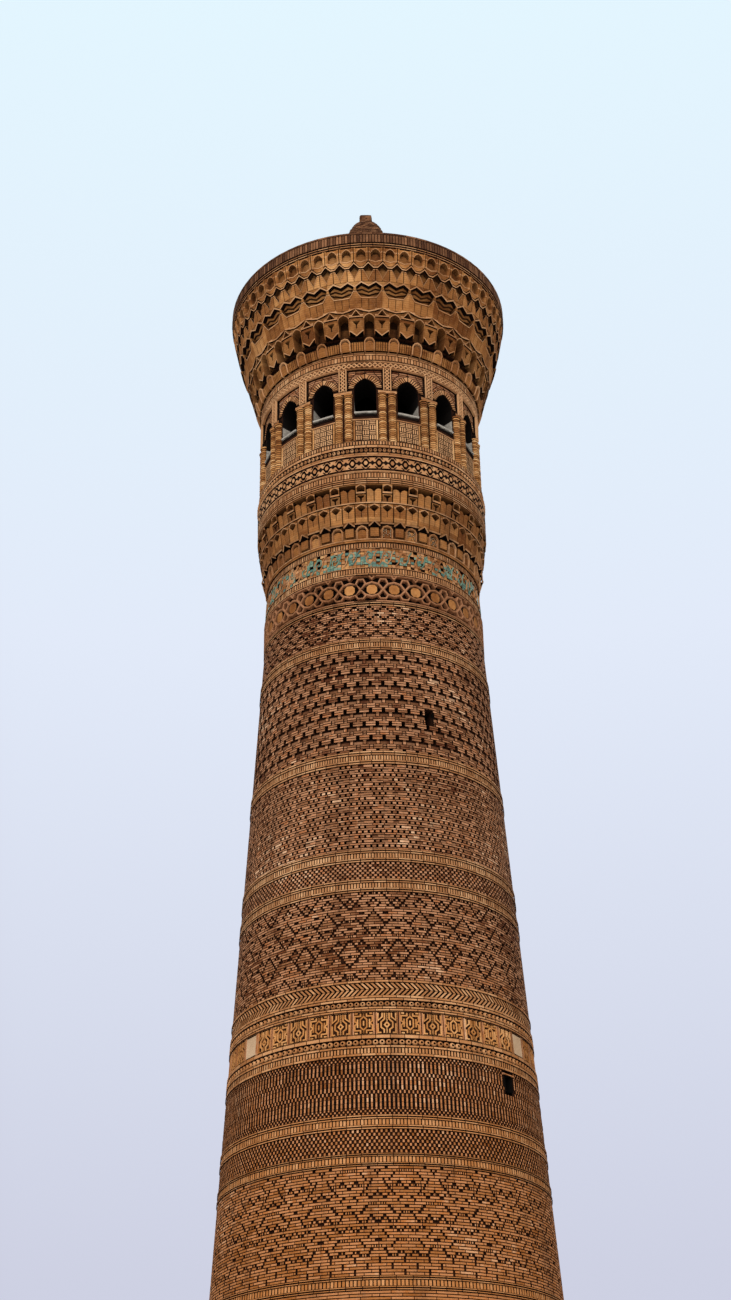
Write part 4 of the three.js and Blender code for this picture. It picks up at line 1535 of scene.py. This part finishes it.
def make_winged_tier():
    """Plain panels under wing-shaped pockets of corbelled courses, with a zigzag ledge over them."""
    skin = Skin(profile_radius((38.4, 3.79), (38.76, 3.9), (39.02, 3.96), (39.28, 4.04)))
    x = columns_with([0, 0.1, 0.2, 0.36, 0.5], 0.01, 0.255, 0.275, 0.45)
    pocket = partial(within, x, 0.45)
    zigzag = rising(x, (0, 39.1), (0.26, 39.22), (0.5, 39.08))
    floor = rising(x, (0, 38.79), (0.3, 38.8), (0.45, 39.02), (0.5, 39.0))
    joint = within(x, 0.01, 1.0) + within(x, 0.275, 1.0) - within(x, 0.255, 1.0)
    fold = rising(x, (0.4, 0), (0.5, -0.05))
    steps = []
    for k in range(4):
        near, far = 0.22 - 0.05 * k, 0.17 - 0.05 * k
        below, line = (floor + (zigzag - floor) * course / 4 for course in (k, k + 1))
        steps += [
            (below, pocket(near, fold), pocket(0.35 - 0.1 * k)),
            (line - 0.032, pocket(near - 0.01, fold), pocket(0.1)),
            (line, pocket(far if k < 3 else near, fold), pocket(1.8)),
        ]
    add_relief(skin, UPPER_CELLS, UPPER_PHASE, x, [
        (38.4, 0.02 * joint, joint * 0.8),
        (floor - 0.045, 0.025 * joint + fold * 0.5, joint * 0.8),
        (floor - 0.045, -0.02, 0, "pale_brick"),
        (floor - 0.015, -0.02, 0, "shade"),
        (floor - 0.015, 0.03, 1, "shade"),
        (floor, 0.03, 1),
        *steps,
        *ledge_on(zigzag, 0.045, 0.04, -0.05),
        (39.28 - SEAT, 0.0, 0),
    ])
    close_ring(skin, "upper_cornice_winged_tier", "carving", "brick", well=VAULT_RADIUS, inset=0.3)


def make_lozenge_tier():
    """Lozenge pockets drawn out to a point below, under a pale zigzag ledge."""
    skin = Skin(profile_radius((39.28, 4.05), (39.86, 4.16), (39.95, 4.18)))
    x = columns_with([0, 0.07, 0.2, 0.5], 0.018, 0.35, 0.47)
    pocket = partial(within, x, 0.35)
    floor = rising(x, (0, 39.35), (0.07, 39.43), (0.35, 39.67))
    zigzag = rising(x, (0, 39.86), (0.35, 39.7))
    side = 1.0 - within(x, 0.47, 1.0)
    joint = within(x, 0.018, 1.0) + side
    lip = -0.015 + 0.04 * side
    add_relief(skin, 2 * UPPER_CELLS, UPPER_PHASE, x, [
        (39.28, 0.03 * joint, joint),
        (floor - 0.025, 0.03 * side, side),
        (floor - 0.025, lip, side, "pale_brick"),
        (floor, lip, side, "shade"),
        (floor, pocket(0.07), pocket(0.9)),
        (floor + (zigzag - floor) * 0.2, pocket(0.1), pocket(0.3)),
        (floor + (zigzag - floor) * 0.7, pocket(0.11), pocket(0.15)),
        (zigzag - 0.02, pocket(0.13), pocket(0.8)),
        *ledge_on(zigzag, 0.04, 0.035)[1:6],
    ])
    close_ring(skin, "upper_cornice_lozenge_tier", "carving", "brick", well=VAULT_RADIUS, inset=0.1)


def make_small_tier():
    """Small arched niches between pale posts, over the lozenges' zigzag."""
    skin = Skin(profile_radius((39.86, 4.17), (40.41, 4.285)))
    x = columns_with([0, 0.1, 0.2, 0.5], 0.31, 0.37, 0.47)
    niche = partial(within, x, 0.31)
    foot = rising(0.5 - x, (0, 39.95), (0.35, 39.78))
    floor = rising(x, (0, 39.93), (0.31, 39.98))
    crown = arch_curve(x, 40.22, 40.35, 0.31)
    joint = 1.0 - within(x, 0.47, 1.0)
    post = np.where((x > 0.372) & (x < 0.473), -0.03, 0.03 * joint)
    lip = (niche(-0.01, post), niche(0.0, joint))
    add_relief(skin, 2 * UPPER_CELLS, UPPER_PHASE - 3, x, [
        (foot, post, joint),
        (floor - 0.03, post, joint),
        (floor - 0.03, *lip, "pale_brick"),
        (floor, *lip, "shade"),
        (floor + 0.002, niche(0.05, post), niche(0.7, joint)),
        (floor + 0.05, niche(0.08, post), niche(0.2, joint)),
        (floor + (crown - floor) * 0.75, niche(0.11, post), niche(0.35, joint)),
        (crown, niche(0.15, post), niche(1.0, joint)),
        (crown, *lip, "pale_brick"),
        (np.maximum(crown + 0.02, 40.25), *lip),
        (40.385, post, joint),
        (40.385, 0.04, 1, "shade"),
        (40.41 - SEAT, 0.04, 1),
    ])
    close_ring(skin, "upper_cornice_small_tier", "carving", "terracotta", well=VAULT_RADIUS)


class Paving(Skin):
    """Skin of a level top: its height coordinate runs inwards from the outer radius."""

    def __init__(self, level, outer):
        super().__init__(lambda inwards: outer - inwards)
        self.level = level

    def place(self, azimuth, inwards, depth):
        """Points under or over the top by a depth."""
        return on_tower(azimuth, self.level - depth, self.face(inwards))


def make_rim():
    """Two ledges and a row of tall worn soldiers under a worn top paved with six rings of bricks."""
    skin = Skin(profile_radius((40.41, 4.32), (40.54, 4.33), (40.56, 4.345), (40.95, 4.345)))
    low, top = LEVELS["cornice_rim"]
    top -= SEAT
    add_ledge(skin, low, 40.46, proud=-0.01, bricks=80)
    add_ledge(skin, 40.485, 40.53, proud=0.0, bricks=80)
    add_ground(skin, 40.46, 40.56, 0.03, sides=96)
    add_soldiers(skin, 40.56, 40.86, 300, 0.0, 0.88, "weathered", "mortar")
    add_ledge(skin, 40.865, top, proud=0.005, bricks=80, finish_name="weathered")
    outer, pitch, paving, bricks = 4.285, 0.278, 0.012, 72
    foot = on_tower(np.arange(96) * TAU / 96, top - paving, outer)
    skin.ring(np.stack([foot + np.array([0, 0, paving * SCALE]), foot]), "mortar")
    add_body(skin, low, top - paving, well=VAULT_RADIUS)
    flat = Paving(top, outer)
    for ring in range(6):
        left = spread(bricks, (ring % 2) * 2.5)[:, 0]
        outline = oblongs(left, left + TAU / bricks, ring * pitch, (ring + 1) * pitch)
        add_tiles(flat, outline, random.uniform(0, 0.004, bricks), "weathered")
    skin.join(flat)
    make_piece("cornice_rim_courses", skin, "pale_brick", "cornice_rim")


make_braided_frieze()
make_upper_arched_tier()
make_deep_tier()
make_winged_tier()
make_lozenge_tier()
make_small_tier()
make_rim()


# Lantern

WINDOWS = 16
SEGMENTS = 8
LANTERN_RADIUS = 3.28
WALL_DEPTH = 0.02
ROOM_RADIUS = 2.4
LANTERN_FOOT, LANTERN_TOP = LEVELS["lantern"]
HALF_WINDOW = 0.33
SILL = 34.85
SPRING = 35.86
APEX = 36.22
HALF_BAY = LANTERN_RADIUS * math.pi / WINDOWS
HALF_STRIP = 0.1175
IMPOST = 35.63
STRIP_FOOT = 35.72
FRET_FOOT = 34.0
FRET_TOP = 34.7
PLASTER_TOP = 35.45


def lantern_skin():
    """Skin of the lantern's upright face."""
    return Skin(profile_radius((LANTERN_FOOT, LANTERN_RADIUS), (LANTERN_TOP, LANTERN_RADIUS)))


def across_bay(middles, across):
    """Azimuths of places given in metres from the middle of each window or pier."""
    return middles[:, None] + np.atleast_1d(across) / LANTERN_RADIUS


def in_bays(middles, across, height):
    """The same path of (metres across, height) points in each bay."""
    azimuth = across_bay(middles, across)
    return np.stack([azimuth, np.broadcast_to(height, azimuth.shape)], axis=-1)


def add_sheets(skin, sheets, depth, finish_name):
    """Flat sheets of the wall, each from its columns' azimuths and its lower and upper edge."""
    for places, bottom, top in sheets:
        bottom, top = (np.broadcast_to(level, places.shape[1]) for level in (bottom, top))
        add_cells(skin, places, bottom, top, [depth, depth], finish_name)


def add_window_wall(skin, middles):
    """Wall of each window bay: plate round the opening, parallel jambs, inner face and flat ends."""
    columns = np.linspace(-HALF_WINDOW, HALF_WINDOW, 13)
    crown = arch_curve(columns, SPRING, APEX, HALF_WINDOW)
    places = across_bay(middles, columns)
    left, right = middles - HALF_BAY / LANTERN_RADIUS, middles + HALF_BAY / LANTERN_RADIUS
    low, high = LANTERN_FOOT, LANTERN_TOP - SEAT
    add_sheets(skin, (
        (np.stack([left, places[:, 0]], axis=1), low, high),
        (np.stack([places[:, -1], right], axis=1), low, high),
        (places, crown, high),
        (places, low, FRET_FOOT),
        (places, FRET_TOP, SILL),
    ), WALL_DEPTH, "mortar")
    add_sheets(skin, [(places[:, :2], FRET_FOOT, FRET_TOP)], WALL_DEPTH, "mortar")
    add_cells(skin, places[:, 1:-1], [FRET_FOOT], [FRET_TOP], [0.085, 0.085], "shade", rim=WALL_DEPTH)
    add_sheets(skin, [(places[:, -2:], FRET_FOOT, FRET_TOP)], WALL_DEPTH, "mortar")
    flat = between(columns, SILL, crown)
    outline = np.insert(flat, [13, 26], [[HALF_WINDOW, PLASTER_TOP], [-HALF_WINDOW, PLASTER_TOP]], axis=0)
    across, height = outline.T
    near = on_tower(across_bay(middles, across), height, LANTERN_RADIUS - WALL_DEPTH)
    far = on_tower(middles[:, None] + np.arcsin(across / ROOM_RADIUS), height, ROOM_RADIUS)
    jambs = wall_between(near, far)
    plastered = np.maximum(height, np.roll(height, -1)) < PLASTER_TOP + 0.01
    skin.add(jambs[:, plastered], "board")
    # upper jambs in near-black painted shade
    skin.add(jambs[:, ~plastered], "soot")
    # inner face of the room in near-black painted shade
    places = middles[:, None] + np.arcsin(columns / ROOM_RADIUS)[::-1]
    add_sheets(skin, (
        (np.stack([right, places[:, 0]], axis=1), low, high),
        (np.stack([places[:, -1], left], axis=1), low, high),
        (places, crown[::-1], high),
        (places, low, SILL),
    ), LANTERN_RADIUS - ROOM_RADIUS, "soot")
    radii = np.array([ROOM_RADIUS, LANTERN_RADIUS - WALL_DEPTH])
    steps = left[:, None] + np.linspace(0, 1, 7) * (right - left)[:, None]
    for level, order in ((low, radii), (high, radii[::-1])):
        skin.add(sheet(on_tower(steps[:, None, :], level, order[:, None])), "mortar")
    for azimuth, order in ((left, radii), (right, radii[::-1])):
        skin.add(sheet(on_tower(azimuth[:, None, None], np.array([[low], [high]]), order)), "mortar")


def add_arch_bricks(skin, middles, depth=0.18, count=18):
    """Bricks on edge that fan round each arch, and courses that fill the wall beside and above them."""
    across = HALF_WINDOW * np.sin(np.linspace(-1, 1, count + 1) * math.pi / 2)
    rise = arch_curve(across, SPRING, APEX, HALF_WINDOW)
    slope = np.gradient(rise, across)
    normal = np.stack([-slope, np.ones_like(slope)], axis=1)
    normal[0], normal[-1], normal[count // 2] = (-1.0, 0.1), (1.0, 0.1), (0.0, 1.0)
    normal /= np.linalg.norm(normal, axis=1, keepdims=True)
    inner = np.stack([across, rise], axis=1)
    outer = inner + depth * normal
    metric = np.array([1 / LANTERN_RADIUS, 1.0])
    bays = np.stack([middles, np.zeros_like(middles)], axis=1)[:, None, None]
    placed = sheet(np.stack([inner, outer]))[0] * metric + bays
    add_tiles(skin, placed.reshape(-1, 4, 2), -0.015, "pale_brick", bevel=0.014, groove=0.05, sides="shade")
    levels = np.arange(SPRING - 0.1, LANTERN_TOP - 0.07, COURSE)
    top = np.minimum(levels + COURSE, LANTERN_TOP - 0.03)
    haunch = outer[: count // 2 + 1]
    haunch = haunch[np.argsort(haunch[:, 1])]
    starts = [
        np.where(height > outer[:, 1].max(), 0.0, np.interp(height, haunch[:, 1], -haunch[:, 0]))
        for height in (levels, top)
    ]
    finish_at = HALF_BAY - HALF_STRIP
    for side in (-1, 1):
        for part in (0, 1):
            foot, head = (
                [start + (finish_at - start) * (part + end) / 2 for end in (0, 1)] for start in starts
            )
            corners = [(foot[0], levels), (foot[1], levels), (head[1], top), (head[0], top)]
            if side < 0:
                corners = [(-foot[1], levels), (-foot[0], levels), (-head[0], top), (-head[1], top)]
            outline = slanted([(edge / LANTERN_RADIUS, height) for edge, height in corners])
            wide = np.abs(foot[1] - foot[0]) > 0.03
            add_tiles(skin, (outline[wide] + bays).reshape(-1, 4, 2), 0.0, "brick", groove=0.018)


def add_fret(skin, middles, shift):
    """Panel of small bricks under each window, laid in blocks of three that lie and stand by turns."""
    columns, rows, half = 3, 4, 0.3
    wide, tall = 2 * half / columns, (FRET_TOP - FRET_FOOT) / rows
    places = np.meshgrid(np.arange(columns), np.arange(rows), np.arange(3), indexing="ij")
    column, row, third = (numbers.ravel() for numbers in places)
    x, y = column * wide - half, row * tall + FRET_FOOT
    stands = (column + row + shift) % 2 == 0
    left = np.where(stands, x + third * wide / 3, x)
    right = np.where(stands, left + wide / 3, x + wide)
    foot = np.where(stands, y, y + third * tall / 3)
    top = np.where(stands, y + tall, foot + tall / 3)
    for middle in middles:
        outline = oblongs(middle + left / LANTERN_RADIUS, middle + right / LANTERN_RADIUS, foot, top)
        add_tiles(skin, outline, 0.0, "pale_brick", tone=1.0, bevel=0.014, groove=0.07, sides="shade")


def add_posts(skin, azimuths, low, high, radius, finish_name, sides=9):
    """Colonnettes of round courses, each with a dark joint under it, that swell into a plain capital."""
    rows = round((high - low) / COURSE)
    share = np.append((np.arange(rows)[:, None] + np.array([0.0, 0.2, 0.88])).ravel() / rows, 1.0)
    girth = np.append(radius * np.tile([0.84, 1.0, 1.0], rows), radius)
    girth[-7:] *= np.array([1.0, 1.1, 1.1, 1.0, 1.22, 1.22, 1.22])
    turn = np.arange(sides + 1) * TAU / sides
    jitter = 1 + random.normal(0, 0.02, (len(azimuths), len(share), 1))
    out, along = np.cos(turn) * girth[:, None] * jitter, np.sin(turn) * girth[:, None] * jitter
    height = (low + (high - low) * share)[:, None]
    points = on_tower(azimuths[:, None, None] + along / LANTERN_RADIUS, height, LANTERN_RADIUS + out)
    tone = random.random((len(azimuths), len(share) - 1))
    # painted shade on the recessed joint rings, so that they read as dark joints
    shade_share = np.tile([1.0, 0.0, 1.0], rows * len(azimuths))
    skin.add(sheet(points), finish_name, tone, soot=shade_share)


def add_strips(skin, piers):
    """Braided upright strips over the colonnettes, each in a raised border, with an impost below."""
    body = across_bay(piers, [-HALF_STRIP, HALF_STRIP])
    add_cells(skin, body, [STRIP_FOOT], [LANTERN_TOP - SEAT], [-0.06, -0.06], "shade", rim=WALL_DEPTH)
    strap = partial(add_ribbons, skin, foot=-0.05, finish_name="pale_brick", tone=1.0)
    for offset in (-0.1, 0.1):
        strap(in_bays(piers, [offset] * 2, [STRIP_FOOT + 0.01, LANTERN_TOP - 0.01]), 0.03, -0.115)
    steps = np.arange(7)
    height = STRIP_FOOT + 0.03 + steps * (LANTERN_TOP - STRIP_FOOT - 0.06) / 6
    for sign in (-1, 1):
        strap(in_bays(piers, sign * 0.055 * np.where(steps % 2 == 0, 1, -1), height), 0.034, -0.105)
    block = across_bay(piers, [-0.27, 0.27])
    add_cells(skin, block, [IMPOST], [STRIP_FOOT], [-0.1, -0.1], "pale_brick", rim=WALL_DEPTH, sides="shade")
    wedge = across_bay(piers, [-0.08, 0.0, 0.08])
    add_cells(skin, wedge, [35.6, 35.38, 35.6], [35.62] * 3, [-0.02, -0.02], "shade")


def make_lantern():
    """The eight arcade segments with their colonnettes, strips, arches and panels."""
    lines = (
        ([-0.4, 0.4], 34.75, 0.05, -0.01, "pale_brick"),
        ([-0.42, 0.42], 33.95, 0.06, -0.01, "clay"),
        ([-0.335, -0.335], [FRET_FOOT, FRET_TOP], 0.05, -0.005, "clay"),
        ([0.335, 0.335], [FRET_FOOT, FRET_TOP], 0.05, -0.005, "clay"),
        ([-0.5, -0.5, 0.5, 0.5], [35.7, 36.48, 36.48, 35.7], 0.035, -0.004, "shade"),
    )
    for k in range(SEGMENTS):
        skin = lantern_skin()
        middles = np.array([2 * k, 2 * k + 1]) * TAU / WINDOWS
        piers = middles - math.pi / WINDOWS
        add_window_wall(skin, middles)
        add_arch_bricks(skin, middles)
        add_fret(skin, middles, k)
        posts = np.concatenate([piers - 2.5 * DEGREE, piers + 2.5 * DEGREE])
        add_posts(skin, posts, LANTERN_FOOT, IMPOST, 0.115, "terracotta")
        add_strips(skin, piers)
        for across, height, width, depth, finish_name in lines:
            add_ribbons(skin, in_bays(middles, across, height), width, depth, WALL_DEPTH, finish_name)
        make_piece(f"lantern_arcade_{k + 1}_brickwork", skin, "brick", f"lantern_arcade_{k + 1}")


def make_sill_boards():
    """A board in painted shade under a pale weathered board across the foot of each window."""
    skin = lantern_skin()
    ends = across_bay(np.arange(WINDOWS) * TAU / WINDOWS, [-0.325, 0.325])
    boards = ((34.86, 34.93, -0.01, 0.16, "shade"), (34.97, 35.02, -0.03, 0.06, "board"))
    for low, high, near, far, name in boards:
        for depth, columns in ((near, ends), (far, ends[:, ::-1])):
            add_cells(skin, columns, [low], [high], [depth, depth], name)
        for level, order in ((low, [[far], [near]]), (high, [[near], [far]])):
            skin.add(sheet(skin.place(ends[:, None, :], level, np.array(order))), name)
        for column, order in ((0, [far, near]), (1, [near, far])):
            azimuth = ends[:, column, None, None]
            skin.add(sheet(skin.place(azimuth, np.array([[low], [high]]), np.array(order))), name)
    make_piece("lantern_sill_boards", skin, "sill_board")


make_lantern()
make_sill_boards()


# Roof


def make_roof_core(face):
    """Brick core of worn courses that tapers from the rim's level to the stub."""
    skin = Skin(face)
    low, high = LEVELS["roof_core"]
    rows, cells, inset = courses(low, high), 96, 0.03
    depth = np.clip(random.normal(0.0, 0.006, (rows, cells)).round(3), 0, 0.02)
    starts = bond(rows, cells, 4)
    depth = np.take_along_axis(depth, np.cumsum(starts, axis=1) % cells, axis=1)
    add_brickwork(skin, np.linspace(low, high - SEAT, rows + 1), depth, starts, "weathered", edge=inset)
    azimuth = np.arange(48) * TAU / 48
    for level, order in ((low, (0.0, 1.0)), (high - SEAT, (1.0, 0.0))):
        rings = [on_tower(azimuth, level, share * (face(level) - inset)) for share in order]
        skin.ring(np.stack(rings), "mortar")
    make_piece("roof_core_bricks", skin, "brick", "roof_core")


def make_roof_stub(face):
    """Rounded square stub of four worn courses, with a broken brick left on one corner."""
    skin = Skin(face)
    sides = 24
    turn = np.arange(sides) * TAU / sides
    square = 0.21 / (np.abs(np.cos(turn)) ** 8 + np.abs(np.sin(turn)) ** 8) ** 0.125
    foot, top = LEVELS["roof_stub"]
    levels = np.array([foot, 45.2, 45.21, 45.27, 45.28, 45.34, 45.35, 45.41, 45.42, 45.46, top])
    girth = np.array([1.0, 1.0, 0.95, 0.99, 0.94, 0.99, 0.94, 0.98, 0.93, 0.96, 0.86])
    worn = 1 + random.normal(0, 0.012, (len(levels), sides))
    rings = on_tower(turn, levels[:, None], square * girth[:, None] * worn)
    skin.ring(rings, "weathered", random.random((len(levels) - 1, sides)))
    for level, ring, order in ((foot, rings[0], 1), (top, rings[-1], -1)):
        centre = np.broadcast_to(on_tower(0.0, level, 0.0), ring.shape)
        skin.ring(np.stack([centre, ring][::order]), "mortar")
    x, y = np.array([(-0.18, -0.15), (-0.02, -0.15), (-0.02, 0.05), (-0.18, 0.05)]).T
    under = SCALE * np.stack([x, y, np.full(4, 45.42)], axis=1)
    over = SCALE * np.stack([0.92 * x, 0.9 * y, np.full(4, 45.53)], axis=1)
    skin.add(wall_between(under, over), "mortar")
    skin.add(over, "mortar")
    make_piece("roof_stub_worn", skin, "pale_brick", "roof_stub")


def finish_carried(node):
    """Near-black painted shade for a CAD node that is kept as it is, weathered where it faces up over the rim's
    level.
    """
    data = frame["nodes"][node].data
    data.materials.clear()
    for name in ("soot", "weathered"):
        data.materials.append(materials[name])
    centre, normal = np.zeros((2, len(data.polygons), 3))
    data.polygons.foreach_get("center", centre.ravel())
    data.polygons.foreach_get("normal", normal.ravel())
    roofed = (normal[:, 2] > 0.9) & (centre[:, 2] > 40.5 * SCALE)
    data.polygons.foreach_set("material_index", roofed.astype(np.int32))


core_radius = profile_radius(
    (40.95, 1.7), (42.0, 1.45), (43.0, 1.15), (44.0, 0.82), (44.6, 0.62), (44.82, 0.56), (45.0, 0.45),
    (45.09, 0.35), (45.14, 0.26),
)
make_roof_core(core_radius)
make_roof_stub(core_radius)
finish_carried("lantern_vault")
finish_carried("lantern_floor")


# Studio

FLOOR_REACH = 120.0


def make_floor():
    """Plain pale round floor."""
    columns = 96
    azimuth = np.arange(columns) * TAU / columns
    points = np.stack([np.sin(azimuth), -np.cos(azimuth), 0 * azimuth], axis=1) * FLOOR_REACH
    mesh = bpy.data.meshes.new("floor")
    mesh.from_pydata(points.tolist(), [], [list(range(columns))])
    floor = bpy.data.objects.new("floor", mesh)
    bpy.context.scene.collection.objects.link(floor)
    material, shader, _ = new_material("floor")
    shader.inputs["Base Color"].default_value = (0.62, 0.6, 0.57, 1)
    shader.inputs["Roughness"].default_value = 0.9
    mesh.materials.append(material)


def make_sky():
    """Pale sky: bright in a soft-edged sector behind the tower and cut down to three tenths elsewhere."""
    world = bpy.data.worlds.new("sky")
    world.use_nodes = True
    bpy.context.scene.world = world
    tree = world.node_tree
    start = Socket(tree, tree.nodes.new("ShaderNodeTexCoord").outputs["Generated"])
    across, ahead, height = (start.node("ShaderNodeSeparateXYZ", None, k, Vector=start) for k in range(3))
    stops = [(0.0, 198, 200, 220), (0.2, 206, 209, 227), (0.5, 226, 234, 249), (0.76, 227, 246, 255)]
    sky = height.node("ShaderNodeValToRGB", {"stops": stops}, Fac=height)
    lit = (across * across).band(0.14, 0.045) * ahead.band(0.0, 0.3)
    sky = (lit * 0.7 + 0.3).mixed(colour(0, 0, 0), sky)
    background = tree.nodes["Background"]
    tree.links.new(sky.socket, background.inputs["Color"])
    background.inputs["Strength"].default_value = 1.0


def make_light(name, energy, tilt, turn):
    """A broad soft sun, tilted and turned in degrees."""
    light = bpy.data.lights.new(name, "SUN")
    light.energy = energy
    light.angle = 60 * DEGREE
    light.color = (1.0, 0.96, 0.9)
    lamp = bpy.data.objects.new(name, light)
    lamp.rotation_euler = (tilt * DEGREE, 0, turn * DEGREE)
    bpy.context.scene.collection.objects.link(lamp)


bpy.context.scene.view_settings.view_transform = "Standard"
make_floor()
make_sky()
make_light("key", 3.1, 52, -4)
make_light("fill", 2.2, 55, 180)
